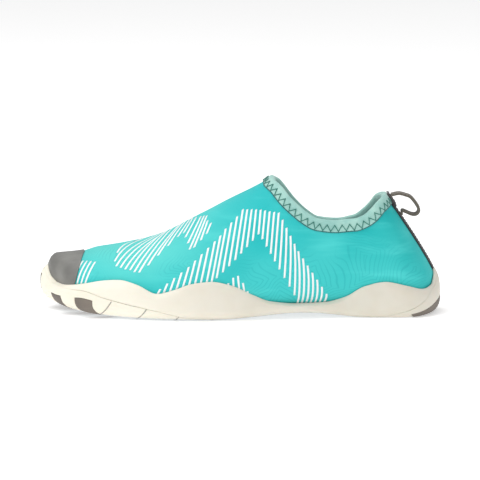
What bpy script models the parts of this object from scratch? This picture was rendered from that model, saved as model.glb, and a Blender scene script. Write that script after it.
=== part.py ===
# A left water shoe, standing empty on its sole. Metres, +Z up.
# X runs along the shoe with the toe at -X, and +Y is the medial (big toe) side.
# The origin is on the floor, in the middle of the shoe's length and width.

import math

import bpy
import bmesh
import numpy as np
from mathutils import Vector

# Driving dimensions of the whole shoe
LENGTH = 0.262              # sole, toe tip to heel back
BALL_WIDTH = 0.099          # sole, across the ball
INSTEP_HEIGHT = 0.0865      # top of the upper at the front of the collar
HEEL_HEIGHT = 0.0760        # top of the upper at the centre back
HEEL_LEAN = 0.0318          # how far the collar's back stands in front of the heel
WALL_CREST = 0.0255         # height of the sole wall at its highest wave
TOE_SPRING = 0.0070         # lift of the tread's line at the toe tip
ARCH_LIFT = 0.0036          # lift of the tread at the waist

# Walls, layers and the gap between pieces
CLEARANCE = 0.0003
UPPER_WALL = 0.0018
OUTSOLE_THICKNESS = 0.0024
MIDSOLE_HEEL = 0.0042       # midsole under the heel
INSOLE_THICKNESS = 0.0030
INSOLE_EDGE = 0.0008        # how far its top and bottom edges are drawn in
SHOULDER_HEIGHT = 0.009     # feather edge up to the upper's widest line
FEATHER_TUCK = 0.0055       # how far the upper's bottom edge draws in
TOE_RIM = 0.0060            # sole in front of the upper
HEEL_RIM = 0.0045           # sole behind the upper
WALL_BULGE = 0.0042         # sole wall outside the upper's widest line
RIM_THICKNESS = 0.0013      # top edge of the sole wall
TOE_CAP_THICKNESS = 0.0007
TOE_CAP_SIDE = 0.069        # its rear edge at the sole's rim, as a share of the length
TOE_CAP_RIDGE = 0.093       # its rear edge on the ridge
TOE_CAP_CURVE = 0.7         # below 1 its rear edge runs back early
LUG_DEPTH = 0.0010
WRAP_TAPER = 0.60           # how much of their depth the outsole and lugs lose up the wall
WALL_FULLNESS = 3.4         # how long the sole wall stays out before it draws in

# Collar binding, heel tape and pull loop
BINDING_WIDTH = 0.0062
BINDING_INNER_WIDTH = 0.0050
BINDING_THICKNESS = 0.0012
TAPE_WIDTH = 0.011
TAPE_THICKNESS = 0.0011
LOOP_WIDTH = 0.009
LOOP_THICKNESS = 0.0013
LOOP_REACH = 0.0190         # how far the pull loop stands off behind the heel tape
LOOP_FOOT_DROP = 0.0120     # its lower end below its upper end

LOOP_SHAPE = (              # the loop's path behind its upper end, in shares of LOOP_REACH
    (0.27, 0.04), (0.50, -0.02), (0.67, -0.10), (0.85, -0.32), (0.94, -0.50),
    (0.87, -0.63), (0.71, -0.64), (0.40, -0.53))

# Rounding of the sole's lower edge: how far in and how high it goes
TOE_ROUND_IN = 0.0100
TOE_ROUND_UP = 0.0120
HEEL_ROUND_IN = 0.0060
HEEL_ROUND_UP = 0.0090
SIDE_ROUND_UP = 0.008
SIDE_ROUND_SHARE = 0.75     # at most this share of the wall's height

# Where the tread is flat on the floor, as shares of the length
FOREFOOT_FLAT = (0.305, 0.428)
HEEL_FLAT = (0.817, 0.931)
HEEL_BEVEL = 0.0010
TOE_SPRING_CURVE = 1.8      # how late the tread rises towards the toe
ARCH_CURVE = 1.2            # above 1 the waist's highest place moves towards the heel

# Plan of the sole. Along: share of LENGTH. The rest: shares of BALL_WIDTH.
# Half widths are given before the toe and heel round them off.
OUTLINE = {
    "along":      (0.000, 0.020, 0.045, 0.076, 0.153, 0.250, 0.363, 0.458, 0.573, 0.668, 0.763, 0.840, 0.897, 0.947, 1.000),
    "centre":     (0.080, 0.077, 0.070, 0.060, 0.040, 0.015, 0.000, 0.000, 0.000, 0.000, 0.000, 0.000, 0.000, 0.000, 0.000),
    "lateral":    (0.265, 0.285, 0.355, 0.385, 0.434, 0.480, 0.500, 0.485, 0.439, 0.394, 0.359, 0.352, 0.352, 0.348, 0.300),
    "medial":     (0.275, 0.300, 0.355, 0.380, 0.414, 0.477, 0.460, 0.389, 0.333, 0.318, 0.328, 0.333, 0.325, 0.320, 0.265),
    "lateral_in": (0.060, 0.060, 0.060, 0.060, 0.075, 0.100, 0.100, 0.100, 0.080, 0.060, 0.055, 0.045, 0.040, 0.035, 0.035),
    "medial_in":  (0.060, 0.060, 0.060, 0.060, 0.070, 0.085, 0.095, 0.115, 0.130, 0.115, 0.085, 0.060, 0.045, 0.040, 0.040),
}
TOE_ROUNDING = (0.16, 2.3)    # share of the length that rounds off, and its fullness
HEEL_ROUNDING = (0.115, 2.5)

# Ridge of the last: share of the upper's length, and share of the way from WALL_CREST
# to INSTEP_HEIGHT. Behind the collar's front it is the ankle line that the sides lean towards.
RIDGE = {
    "along":  (0.000, 0.008, 0.020, 0.048, 0.085, 0.123, 0.157, 0.209, 0.261, 0.313, 0.366, 0.417, 0.469, 0.521, 0.569, 0.672, 0.770, 1.000),
    "height": (0.071, 0.135, 0.167, 0.173, 0.189, 0.238, 0.262, 0.300, 0.351, 0.432, 0.547, 0.657, 0.773, 0.880, 0.985, 1.203, 1.302, 1.320),
}
# Section shape: fullness of the arch, and the ridge's shift to the medial side.
SECTION = {
    "along":    (0.00, 0.15, 0.30, 0.45, 0.58, 0.75, 1.00),
    "fullness": (2.35, 2.30, 2.20, 2.15, 2.15, 2.15, 2.10),
    "shift":    (0.00, 0.01, 0.03, 0.04, 0.03, 0.01, 0.00),
}
# Collar edge: shares of the upper's length and of INSTEP_HEIGHT.
COLLAR_FRONT = 0.582
COLLAR = {
    "along":   (0.582, 0.598, 0.614, 0.629, 0.649, 0.676, 0.716, 0.775, 0.831, 0.869, 0.915, 0.960, 1.000),
    "lateral": (1.000, 0.972, 0.934, 0.892, 0.845, 0.787, 0.730, 0.714, 0.726, 0.748, 0.801, 0.851, 0.878),
    "medial":  (1.000, 0.968, 0.918, 0.862, 0.792, 0.722, 0.655, 0.640, 0.667, 0.712, 0.780, 0.845, 0.878),
}
# Wavy top edge of the sole wall: shares of LENGTH and of WALL_CREST.
WAVE = {
    "along":   (0.000, 0.004, 0.013, 0.026, 0.040, 0.066, 0.095, 0.150, 0.190, 0.235, 0.285, 0.330, 0.375, 0.425, 0.475, 0.530, 0.575, 0.650, 0.715, 0.765, 0.815, 0.870, 0.925, 0.970, 0.990, 1.000),
    "lateral": (1.120, 0.980, 0.855, 0.770, 0.755, 0.790, 0.850, 0.970, 1.000, 0.900, 0.690, 0.800, 0.950, 1.000, 0.900, 0.650, 0.470, 0.385, 0.400, 0.530, 0.800, 0.915, 0.805, 0.690, 0.760, 1.110),
    "medial":  (1.120, 1.140, 1.190, 1.220, 1.220, 1.140, 1.050, 0.990, 1.000, 0.950, 0.830, 0.720, 0.660, 0.640, 0.680, 0.760, 0.800, 0.740, 0.680, 0.720, 0.840, 0.930, 0.850, 0.730, 0.800, 1.110),
}
# How high the outsole and its dark lugs wrap up the wall over the tread, as shares of WALL_CREST
WRAP = {
    "along":   (0.000, 0.012, 0.030, 0.060, 0.110, 0.165, 0.205, 0.255, 0.305, 0.340, 0.375, 0.420, 0.860, 0.900, 0.930, 0.950, 0.970, 0.985, 1.000),
    "outsole": (0.830, 0.770, 0.700, 0.570, 0.610, 0.500, 0.430, 0.345, 0.240, 0.140, 0.065, 0.031, 0.031, 0.129, 0.235, 0.353, 0.530, 0.700, 0.920),
    "lug":     (0.700, 0.600, 0.340, 0.355, 0.425, 0.330, 0.196, 0.137, 0.086, 0.055, 0.035, 0.020, 0.016, 0.052, 0.088, 0.135, 0.205, 0.300, 0.420),
}
# Midsole under the foot, as shares of MIDSOLE_HEEL
FLOOR = {
    "along":     (0.00, 0.35, 0.50, 0.65, 0.85, 1.00),
    "thickness": (0.72, 0.72, 0.43, 0.43, 1.00, 1.00),
}

# Dark lugs set into the outsole, as plan outlines: (share of LENGTH, share of BALL_WIDTH)
LUG_PLANS = {
    "lug_toe": (
        (-0.080, 0.420), (0.009, 0.259), (0.032, 0.193), (0.061, 0.149), (0.094, 0.097), (0.134, 0.035),
        (0.139, 0.008), (0.120, -0.009), (0.075, -0.030), (0.045, 0.000), (0.020, 0.030), (-0.080, 0.060)),
    "lug_front": (
        (-0.020, 0.440), (0.022, 0.333), (0.057, 0.251), (0.091, 0.178), (0.132, 0.106), (0.181, 0.026),
        (0.197, -0.020), (0.138, -0.056), (0.104, -0.085), (0.060, -0.115), (0.034, -0.125), (-0.030, -0.150),
        (0.000, -0.440), (0.040, -0.262), (0.062, -0.222), (0.107, -0.205), (0.155, -0.170), (0.215, -0.115), (0.285, -0.055),
        (0.273, -0.031), (0.228, 0.028), (0.175, 0.107), (0.129, 0.187), (0.091, 0.280), (0.056, 0.394), (0.030, 0.560)),
    "lug_ball": (
        (0.075, 0.620), (0.089, 0.438), (0.124, 0.318), (0.170, 0.228), (0.224, 0.140), (0.269, 0.070), (0.310, 0.005),
        (0.324, -0.045), (0.248, -0.162), (0.183, -0.232), (0.128, -0.285), (0.082, -0.335), (0.040, -0.560),
        (0.085, -0.560), (0.110, -0.430), (0.123, -0.393), (0.146, -0.358), (0.190, -0.290), (0.250, -0.215),
        (0.315, -0.130), (0.380, -0.040),
        (0.334, 0.066), (0.269, 0.172), (0.223, 0.253), (0.181, 0.343), (0.151, 0.448), (0.148, 0.620)),
    "lug_heel": (
        (1.080, 0.130), (0.985, 0.075), (0.930, 0.055), (0.880, 0.030), (0.845, 0.000), (0.872, -0.050),
        (0.900, -0.100), (0.925, -0.190), (0.930, -0.290), (0.915, -0.460), (1.080, -0.460)),
    "lug_heel_chevron": (
        (0.975, 0.460), (0.905, 0.300), (0.862, 0.190), (0.812, 0.080), (0.772, 0.000), (0.812, -0.090),
        (0.862, -0.188), (0.884, -0.222), (0.900, -0.180), (0.868, -0.110), (0.822, -0.005), (0.865, 0.085),
        (0.915, 0.130), (0.965, 0.170), (1.050, 0.270)),
}

# Mesh resolution
TOE_STATIONS = 17
COLLAR_STATIONS = 16
UPPER_ROWS = 10
WAVE_ROWS = 8               # rows of the upper that can lie below the sole wall's top
SKIN_LEVELS = (0.0, 0.3, 0.55, 0.78, 1.0)
MATERIALS = {
    "stretch_fabric": ((0.05, 0.62, 0.64), 0.6, 0.0),
    "binding_fabric": ((0.52, 0.76, 0.74), 0.8, 0.0),
    "sole_rubber": ((0.90, 0.87, 0.79), 0.45, 0.0),
    "lug_rubber": ((0.20, 0.19, 0.18), 0.6, 0.0),
    "cap_film": ((0.24, 0.25, 0.25), 0.5, 0.0),
    "webbing": ((0.12, 0.12, 0.12), 0.8, 0.0),
    "footbed_foam": ((0.80, 0.82, 0.82), 0.9, 0.0),
}


def curve_through(table, column):
    """A smooth function through a table's rows that never overshoots them."""
    x = np.array(table["along"], float)
    y = np.array(table[column], float)
    slope = np.diff(y) / np.diff(x)
    tangent = np.zeros_like(y)
    tangent[0], tangent[-1] = slope[0], slope[-1]
    rising = slope[:-1] * slope[1:] > 0
    both = np.where(rising, slope[:-1] + slope[1:], 1.0)
    tangent[1:-1] = np.where(rising, 2 * slope[:-1] * slope[1:] / both, 0.0)

    def at(t):
        t = min(max(t, x[0]), x[-1])
        k = min(int(np.searchsorted(x, t, side="right")) - 1, len(x) - 2)
        width = x[k + 1] - x[k]
        u = (t - x[k]) / width
        return (
            y[k] * (1 + 2 * u) * (1 - u) ** 2
            + y[k + 1] * u * u * (3 - 2 * u)
            + width * tangent[k] * u * (1 - u) ** 2
            - width * tangent[k + 1] * u * u * (1 - u)
        )

    return at


CURVES = {
    (kind, column): curve_through(table, column)
    for kind, table in (
        ("outline", OUTLINE), ("ridge", RIDGE), ("section", SECTION), ("collar", COLLAR),
        ("wave", WAVE), ("wrap", WRAP), ("floor", FLOOR))
    for column in table
    if column != "along"
}


def side_name(side):
    return "medial" if side > 0 else "lateral"


def end_rounding(t):
    """1 along the middle of the shoe, falling to 0 at the toe tip and the heel back."""
    toe, toe_power = TOE_ROUNDING
    heel, heel_power = HEEL_ROUNDING
    if t < toe:
        return max(0.0, 1 - (1 - t / toe) ** toe_power) ** (1 / toe_power)
    if t > 1 - heel:
        return max(0.0, 1 - (1 - (1 - t) / heel) ** heel_power) ** (1 / heel_power)
    return 1.0


def end_share(t):
    """1 at the toe tip and the heel back, falling to 0 along the middle."""
    return max(0.0, 1 - t / TOE_ROUNDING[0]) ** 2 + max(0.0, 1 - (1 - t) / HEEL_ROUNDING[0]) ** 2


def centre_line(t):
    return CURVES["outline", "centre"](t) * BALL_WIDTH


def half_width(t, side, grow=0.0):
    """Half width of the sole's outline, grown evenly, with its rounded ends."""
    return (CURVES["outline", side_name(side)](t) * BALL_WIDTH + grow) * end_rounding(t)


def tread_rise(share):
    """Height of the tread over the floor at a share of the length."""
    if share < FOREFOOT_FLAT[0]:
        return TOE_SPRING * (1 - share / FOREFOOT_FLAT[0]) ** TOE_SPRING_CURVE
    if share < FOREFOOT_FLAT[1]:
        return 0.0
    if share < HEEL_FLAT[0]:
        u = (share - FOREFOOT_FLAT[1]) / (HEEL_FLAT[0] - FOREFOOT_FLAT[1])
        return ARCH_LIFT * math.sin(math.pi * u ** ARCH_CURVE) ** 2
    if share < HEEL_FLAT[1]:
        return 0.0
    return HEEL_BEVEL * ((share - HEEL_FLAT[1]) / (1 - HEEL_FLAT[1])) ** 2


def tread_along(t):
    return TOE_ROUND_IN + t * (LENGTH - TOE_ROUND_IN - HEEL_ROUND_IN)


def tread_height(t):
    return tread_rise(tread_along(t) / LENGTH)


def wave_height(t, side):
    return CURVES["wave", side_name(side)](t) * WALL_CREST


def round_height(t, side):
    """Height of the rounded lower edge, kept below the wave."""
    end = TOE_ROUND_UP if t < 0.5 else HEEL_ROUND_UP
    height = SIDE_ROUND_UP + (end - SIDE_ROUND_UP) * end_share(t)
    return min(height, SIDE_ROUND_SHARE * (wave_height(t, side) - tread_height(t)))


def place(along, y, z):
    return Vector((along - LENGTH / 2, y, z))


def feather_height(t):
    """Bottom edge of the upper, just over the midsole's floor."""
    layers = OUTSOLE_THICKNESS + CURVES["floor", "thickness"](t) * MIDSOLE_HEEL + 2 * CLEARANCE
    return tread_height(t) + layers


def ridge_height(t):
    return WALL_CREST + CURVES["ridge", "height"](t) * (INSTEP_HEIGHT - WALL_CREST)


def lean(t, z):
    """The heel's back and the sides near it lean forward above the sole."""
    weight = max(0.0, (t - 0.55) / 0.45) ** 1.6
    return HEEL_LEAN * weight * max(0.0, (z - WALL_CREST) / (HEEL_HEIGHT - WALL_CREST)) ** 1.12


def last_point(t, side, z, grow=0.0):
    """A point of the upper's outer face at a height, moved out by grow."""
    y_centre = centre_line(t)
    width = half_width(t, side, grow - WALL_BULGE)
    z_feather, z_widest = feather_height(t), feather_height(t) + SHOULDER_HEIGHT
    z_ridge = ridge_height(t) + grow
    shift = CURVES["section", "shift"](t) * BALL_WIDTH
    tuck = 0.0
    if z < z_widest:
        drop = min(1.0, (z_widest - z) / (z_widest - z_feather))
        tuck = FEATHER_TUCK * (1 - math.sqrt(1 - drop * drop))
        y = width - tuck * end_rounding(t)
        rise = 0.0
    else:
        power = CURVES["section", "fullness"](t)
        rise = min(1.0, (z - z_widest) / (z_ridge - z_widest))
        y = width * (1 - rise ** power) ** (1 / power)
    grow -= tuck
    along = TOE_RIM - grow + t * (LENGTH - TOE_RIM - HEEL_RIM + 2 * grow) - lean(t, z)
    return place(along, y_centre + shift * rise ** 2 + side * y, z)


def last_height(t, rise_share, grow=0.0):
    """Height at a share of the arch, spaced evenly around the section."""
    z_widest = feather_height(t) + SHOULDER_HEIGHT
    power = CURVES["section", "fullness"](t)
    return z_widest + (ridge_height(t) + grow - z_widest) * math.sin(rise_share * math.pi / 2) ** (2 / power)


def collar_height(t, side):
    return CURVES["collar", side_name(side)](t) * INSTEP_HEIGHT * (
        1 + (HEEL_HEIGHT / (COLLAR["lateral"][-1] * INSTEP_HEIGHT) - 1) * max(0.0, (t - 0.8) / 0.2))


def arch_share(t, z):
    """The share of the arch that reaches a height: the inverse of last_height."""
    z_widest = feather_height(t) + SHOULDER_HEIGHT
    power = CURVES["section", "fullness"](t)
    rise = min(1.0, max(0.0, (z - z_widest) / (ridge_height(t) - z_widest)))
    return math.asin(rise ** (power / 2)) * 2 / math.pi


def stations():
    """Shares of the length, close together at the toe, the collar's front and the heel."""
    front = [
        COLLAR_FRONT * (0.1 * u + 0.9 * (1 - math.cos(u * math.pi / 2)))
        for u in np.linspace(0, 1, TOE_STATIONS + 1)]
    back = [
        COLLAR_FRONT + (1 - COLLAR_FRONT) * u ** 2.0 / (u ** 2.0 + (1 - u) ** 2.4)
        for u in np.linspace(0, 1, COLLAR_STATIONS + 1)]
    return front + back[1:]


STATIONS = stations()


def upper_rows(t, side):
    """Heights of the upper's rows: three up to its widest line, the rest round its arch."""
    z_feather = feather_height(t)
    top = 1.0 if t <= COLLAR_FRONT + 1e-9 else arch_share(t, collar_height(t, side))
    low = [z_feather + SHOULDER_HEIGHT * k for k in (0.0, 0.3, 0.65)]
    return low + [last_height(t, top * k) for k in np.linspace(0, 1, UPPER_ROWS - 2)]


def upper_skin(t, side, row, grow, ceiling=1.0):
    """A row's point on the upper's faceted face, moved out by grow and cut at a ceiling."""
    rows = upper_rows(t, side)
    k = min(row, max(1, sum(z < ceiling for z in rows)))
    point = last_point(t, side, rows[k], grow)
    if rows[k] <= ceiling:
        return point
    below = last_point(t, side, rows[k - 1], grow)
    return below.lerp(point, (ceiling - below.z) / (point.z - below.z))


def arch_point(t, side, share):
    return last_point(t, side, last_height(t, share))


def overlay_point(t, side, share, lift):
    """A point of the upper's face at a share of its arch, lifted along its normal."""
    t0, t1 = max(0.0, t - 1e-4), min(1.0, t + 1e-4)
    along = arch_point(t1, side, share) - arch_point(t0, side, share)
    upward = arch_point(t, side, min(1.0, share + 1e-3)) - arch_point(t, side, share - 1e-3)
    normal = along.cross(upward) * -side
    if share > 0.9999 or t < 1e-6 or t > 1 - 1e-6:
        normal.y = 0
    return arch_point(t, side, share) + normal.normalized() * lift


def station_at(along, z):
    """The share of the length whose face passes through a point in side view."""
    low, high = 0.0, 1.0
    for _ in range(40):
        t = (low + high) / 2
        if TOE_RIM + t * (LENGTH - TOE_RIM - HEEL_RIM) - lean(t, z) < along:
            low = t
        else:
            high = t
    return t


def heel_station(y, side, z):
    """The share of the length near the heel where the face is y away from the middle."""
    low, high = 0.8, 1.0
    for _ in range(40):
        t = (low + high) / 2
        if abs(last_point(t, side, z).y - centre_line(t)) > y:
            low = t
        else:
            high = t
    return t


def sole_form(t, side, v, depth=0.0, gap=0.0):
    """A point of the sole's outer form. v is 0 at the tread's edge, 0.5 where the
    rounding meets the wall and 1 at the wall's top. It is moved inwards by gap and
    by depth, which thins towards the top."""
    name = side_name(side)
    inset = gap + depth * (1 - WRAP_TAPER * max(0.0, (v - 0.35) / 0.65))
    tread_in = CURVES["outline", name + "_in"](t) * BALL_WIDTH
    z_tread, height = tread_height(t), round_height(t, side)
    tread = Vector((tread_along(t), half_width(t, side, -tread_in)))
    widest = Vector((inset + t * (LENGTH - 2 * inset), half_width(t, side, -inset)))
    if v <= 0.5:
        angle = v * math.pi
        flat = tread.lerp(widest, math.sin(angle))
        z = z_tread + height - (height - inset) * math.cos(angle)
    else:
        z_top = wave_height(t, side)
        rise = (v - 0.5) * 2
        top = last_point(t, side, z_top, CLEARANCE + RIM_THICKNESS - inset)
        top_flat = Vector((top.x + LENGTH / 2, abs(top.y - centre_line(t))))
        flat = widest.lerp(top_flat, rise ** WALL_FULLNESS)
        z = z_tread + height + (z_top - z_tread - height) * rise
    return place(flat.x, centre_line(t) + side * flat.y, z)


def wrap_level(t, side, column):
    """The form's v at the height that the outsole or a lug reaches."""
    reach = CURVES["wrap", column](t) * WALL_CREST
    height = round_height(t, side)
    if reach < height:
        return math.acos((height - reach) / height) / math.pi
    wall = wave_height(t, side) - tread_height(t) - height
    return min(0.93, 0.5 + 0.5 * (reach - height) / wall)


def gap_level(t, side):
    """The clearance as a step of v along the rounded edge."""
    inward = TOE_ROUND_IN if t < 0.5 else HEEL_ROUND_IN
    side_in = CURVES["outline", side_name(side) + "_in"](t) * BALL_WIDTH
    across = side_in + (inward - side_in) * end_share(t)
    arc = math.pi / 2 * math.hypot(across, round_height(t, side)) / math.sqrt(2)
    return 0.5 * 1.4 * CLEARANCE / arc


def ring(point):
    """One closed loop round the shoe: the lateral side to the heel, then the medial side back."""
    lateral = [point(t, -1) for t in STATIONS]
    medial = [point(t, 1) for t in STATIONS[1:-1]]
    return lateral + medial[::-1]


def ladder(count):
    """Faces that span a ring from its lateral to its medial side."""
    last = count // 2
    faces = [(0, 1, count - 1)]
    faces += [(k, k + 1, count - k - 1, count - k) for k in range(1, last - 1)]
    return faces + [(last - 1, last, last + 1)]


def mesh_object(name, points, faces, material, weld=1e-6):
    mesh = bpy.data.meshes.new(name)
    mesh.from_pydata([tuple(p) for p in points], [], faces)
    form = bmesh.new()
    form.from_mesh(mesh)
    bmesh.ops.remove_doubles(form, verts=form.verts, dist=weld)
    bmesh.ops.dissolve_degenerate(form, edges=form.edges, dist=weld)
    bmesh.ops.triangulate(form, faces=form.faces)
    bmesh.ops.recalc_face_normals(form, faces=form.faces)
    closed = not any(edge.is_boundary for edge in form.edges)
    if closed and form.calc_volume(signed=True) < 0:
        bmesh.ops.reverse_faces(form, faces=form.faces)
    form.to_mesh(mesh)
    form.free()
    mesh.shade_smooth()
    mesh.set_sharp_from_angle(angle=math.radians(35))
    obj = bpy.data.objects.new(name, mesh)
    if material:
        mesh.materials.append(bpy.data.materials[material])
        PARTS.objects.link(obj)
    else:
        obj.hide_render = True
        obj.display_type = "WIRE"
        CUTTERS.objects.link(obj)
    return obj


def ring_solid(name, rings, material):
    """A closed solid through rings, spanned by ladders at its first and last ring."""
    count = len(rings[0])
    points = [p for loop in rings for p in loop]
    faces = [face for face in ladder(count)]
    for k in range(len(rings) - 1):
        a, b = k * count, (k + 1) * count
        faces += [(a + i, a + (i + 1) % count, b + (i + 1) % count, b + i) for i in range(count)]
    top = (len(rings) - 1) * count
    faces += [tuple(top + i for i in face) for face in ladder(count)]
    return mesh_object(name, points, faces, material)


def grid_faces(columns, rows):
    return [
        (c * rows + r, (c + 1) * rows + r, (c + 1) * rows + r + 1, c * rows + r + 1)
        for c in range(columns - 1) for r in range(rows - 1)]


def add_modifier(obj, kind, **settings):
    modifier = obj.modifiers.new(kind.title(), kind)
    for key, value in settings.items():
        setattr(modifier, key, value)
    return modifier


def apply_modifiers(obj):
    """Bakes an object's modifiers into its mesh."""
    graph = bpy.context.evaluated_depsgraph_get()
    mesh = bpy.data.meshes.new_from_object(obj.evaluated_get(graph))
    obj.modifiers.clear()
    obj.data = mesh
    return obj


def combine(obj, other, operation):
    add_modifier(obj, "BOOLEAN", operation=operation, object=other, solver="EXACT")
    return apply_modifiers(obj)


def make_materials():
    for name, (colour, roughness, metallic) in MATERIALS.items():
        material = bpy.data.materials.new(name)
        material.use_nodes = True
        shader = material.node_tree.nodes["Principled BSDF"]
        shader.inputs["Base Color"].default_value = (*colour, 1)
        shader.inputs["Roughness"].default_value = roughness
        shader.inputs["Metallic"].default_value = metallic
        material.diffuse_color = (*colour, 1)


def make_upper():
    """The hollow upper: one stretched shell, open at the collar and underneath."""
    points, faces = [], []
    for side in (-1, 1):
        start = len(points)
        for t in STATIONS:
            points += [last_point(t, side, z) for z in upper_rows(t, side)]
        rows = len(upper_rows(0, side))
        faces += [tuple(start + i for i in face)[::side] for face in grid_faces(len(STATIONS), rows)]
    obj = mesh_object("upper", points, faces, "stretch_fabric", weld=1e-5)
    add_modifier(obj, "SOLIDIFY", thickness=UPPER_WALL, offset=-1, use_even_offset=True, use_rim=True)
    return obj


def make_insole():
    """A flat foam footbed inside the upper."""
    inset = -(UPPER_WALL + 2 * CLEARANCE + FEATHER_TUCK * 0.5)

    def edge(lift, draw):
        def point(t, side):
            z = feather_height(t) + lift
            p = last_point(t, side, z, inset - draw)
            return Vector((p.x, p.y, z))
        return point

    top = INSOLE_THICKNESS
    rings = [ring(edge(0.0, INSOLE_EDGE)), ring(edge(top * 0.5, 0.0)), ring(edge(top, INSOLE_EDGE))]
    return ring_solid("insole", rings, "footbed_foam")


def make_midsole():
    """The cup that holds the upper: floor, wavy wall, and a step below for the outsole."""
    def inner(row):
        def point(t, side):
            p = upper_skin(t, side, row, 1.8 * CLEARANCE, wave_height(t, side))
            under_share = max(0.0, 1 - (p.z - feather_height(t)) / SHOULDER_HEIGHT)
            return p - Vector((0, 0, CLEARANCE * math.sqrt(under_share)))
        return point

    def outer(share):
        def point(t, side):
            low = wrap_level(t, side, "outsole") + gap_level(t, side)
            return sole_form(t, side, low + (1 - low) * share)
        return point

    def under(share):
        def point(t, side):
            low = wrap_level(t, side, "outsole") * share + gap_level(t, side) * (share == 1)
            return sole_form(t, side, low, OUTSOLE_THICKNESS, 1.4 * CLEARANCE)
        return point

    rings = [ring(inner(row)) for row in range(WAVE_ROWS)]
    rings += [ring(outer(k)) for k in (1.0, 0.75, 0.5, 0.25, 0.0)]
    rings += [ring(under(k)) for k in SKIN_LEVELS[::-1]]
    return ring_solid("midsole", rings, "sole_rubber")


def skin(name, outside, inside, column, gaps, material=None):
    """A bowl between two offsets of the sole's form, up to some gaps above a wrap line."""
    def face(inset, share):
        def point(t, side):
            top = wrap_level(t, side, column) + gaps * gap_level(t, side)
            return sole_form(t, side, top * share, *inset)
        return point

    rings = [ring(face(outside, k)) for k in SKIN_LEVELS]
    rings += [ring(face(inside, k)) for k in SKIN_LEVELS[::-1]]
    return ring_solid(name, rings, material)


def plan_prism(name, outline, grow=0.0):
    """A tall block over a smooth plan outline, grown sideways by a clearance."""
    flat = [Vector((u * LENGTH - LENGTH / 2, v * BALL_WIDTH)) for u, v in outline]
    count = len(flat)
    area = sum(flat[i].cross(flat[(i + 1) % count]) for i in range(count))
    smooth = []
    for i in range(count):
        a, b, c, d = (flat[(i + k) % count] for k in (-1, 0, 1, 2))
        for u in (0.0, 0.5):
            smooth.append(0.5 * (2 * b + (c - a) * u + (2 * a - 5 * b + 4 * c - d) * u * u
                                 + (3 * b - a - 3 * c + d) * u ** 3))
    grown = []
    for i, p in enumerate(smooth):
        along = (smooth[(i + 1) % len(smooth)] - smooth[i - 1]).normalized()
        grown.append(p + Vector((along.y, -along.x)) * grow * math.copysign(1, area))
    low, high = -WALL_CREST, 2 * WALL_CREST
    points = [(*p, low) for p in grown] + [(*p, high) for p in grown]
    n = len(grown)
    faces = [tuple(range(n)), tuple(range(n, 2 * n))]
    faces += [(i, (i + 1) % n, n + (i + 1) % n, n + i) for i in range(n)]
    return mesh_object(name, points, faces, None)


def make_outsole():
    """The outsole, with its dark lugs set in pockets."""
    outsole = skin("outsole", (0.0,), (OUTSOLE_THICKNESS,), "outsole", 0, "sole_rubber")
    lugs = []
    for name, plan in LUG_PLANS.items():
        lug = skin(name, (0.0,), (LUG_DEPTH,), "lug", 0, "lug_rubber")
        combine(lug, plan_prism(name + "_plan", plan), "INTERSECT")
        pocket = skin(name + "_pocket", (0.0, -LUG_DEPTH), (LUG_DEPTH, CLEARANCE), "lug", 1)
        combine(pocket, plan_prism(name + "_pocket_plan", plan, CLEARANCE), "INTERSECT")
        combine(outsole, pocket, "DIFFERENCE")
        lugs.append(lug)
    return outsole, lugs


def sheet_solid(name, inner, outer, material, closed_ends=(True, True)):
    """A closed sheet between two equal grids of points, with a rim round its edges."""
    columns, rows = len(inner), len(inner[0])
    half = columns * rows
    faces = [face[::-1] for face in grid_faces(columns, rows)]
    faces += [tuple(half + i for i in face) for face in grid_faces(columns, rows)]
    for c in range(columns - 1):
        for r in (0, rows - 1):
            a, b = c * rows + r, (c + 1) * rows + r
            faces.append((a, b, half + b, half + a))
    for end, closed in zip((0, columns - 1), closed_ends):
        for r in range(rows - 1):
            a = end * rows + r
            if closed:
                faces.append((a, a + 1, half + a + 1, half + a))
    points = [p for grid in (inner, outer) for column in grid for p in column]
    return mesh_object(name, points, faces, material)


def make_toe_cap():
    """A thin film over the toe of the upper, down to the sole's rim."""
    rows = np.linspace(0, 1, UPPER_ROWS - 2)
    columns = [t for t in STATIONS if t < TOE_CAP_SIDE * 0.95] + [None]

    def grid(lift):
        points = []
        for column in columns:
            sides = {-1: [], 1: []}
            for side, share in ((side, share) for side in sides for share in rows):
                t = column
                if t is None:
                    t = TOE_CAP_SIDE + (TOE_CAP_RIDGE - TOE_CAP_SIDE) * share ** TOE_CAP_CURVE
                low = arch_share(t, wave_height(t, side) + 1.5 * CLEARANCE)
                sides[side].append(overlay_point(t, side, max(low, share), lift))
            points.append(sides[-1] + sides[1][-2::-1])
        return points

    inner, outer = grid(CLEARANCE), grid(CLEARANCE + TOE_CAP_THICKNESS)
    sheet_solid("toe_cap", inner, outer, "cap_film", closed_ends=(False, True))


def collar_edge():
    """The collar's edge as (share of length, side, height), front to back to front."""
    back = STATIONS[TOE_STATIONS:]
    back.insert(1, COLLAR_FRONT + 0.3 * (back[1] - COLLAR_FRONT))
    lateral = [(t, -1, collar_height(t, -1)) for t in back]
    medial = [(t, 1, collar_height(t, 1)) for t in back[1:-1]]
    return lateral + medial[::-1]


def on_face(point, side):
    """The nearest place on the upper's face to a point: (share of length, side, arch share)."""
    t = station_at(point.x + LENGTH / 2, point.z)
    if t > 0.9:
        t = heel_station(abs(point.y), side, point.z)
        return t, side, arch_share(t, point.z)
    z_widest = feather_height(t) + SHOULDER_HEIGHT
    rise = (point.z - z_widest) / (ridge_height(t) - z_widest)
    y = abs(point.y - centre_line(t) - CURVES["section", "shift"](t) * BALL_WIDTH * rise ** 2)
    slope = math.atan2(rise ** (CURVES["section", "fullness"](t) / 2),
                       (y / half_width(t, side, -WALL_BULGE)) ** (CURVES["section", "fullness"](t) / 2))
    return t, side, slope * 2 / math.pi


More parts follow.
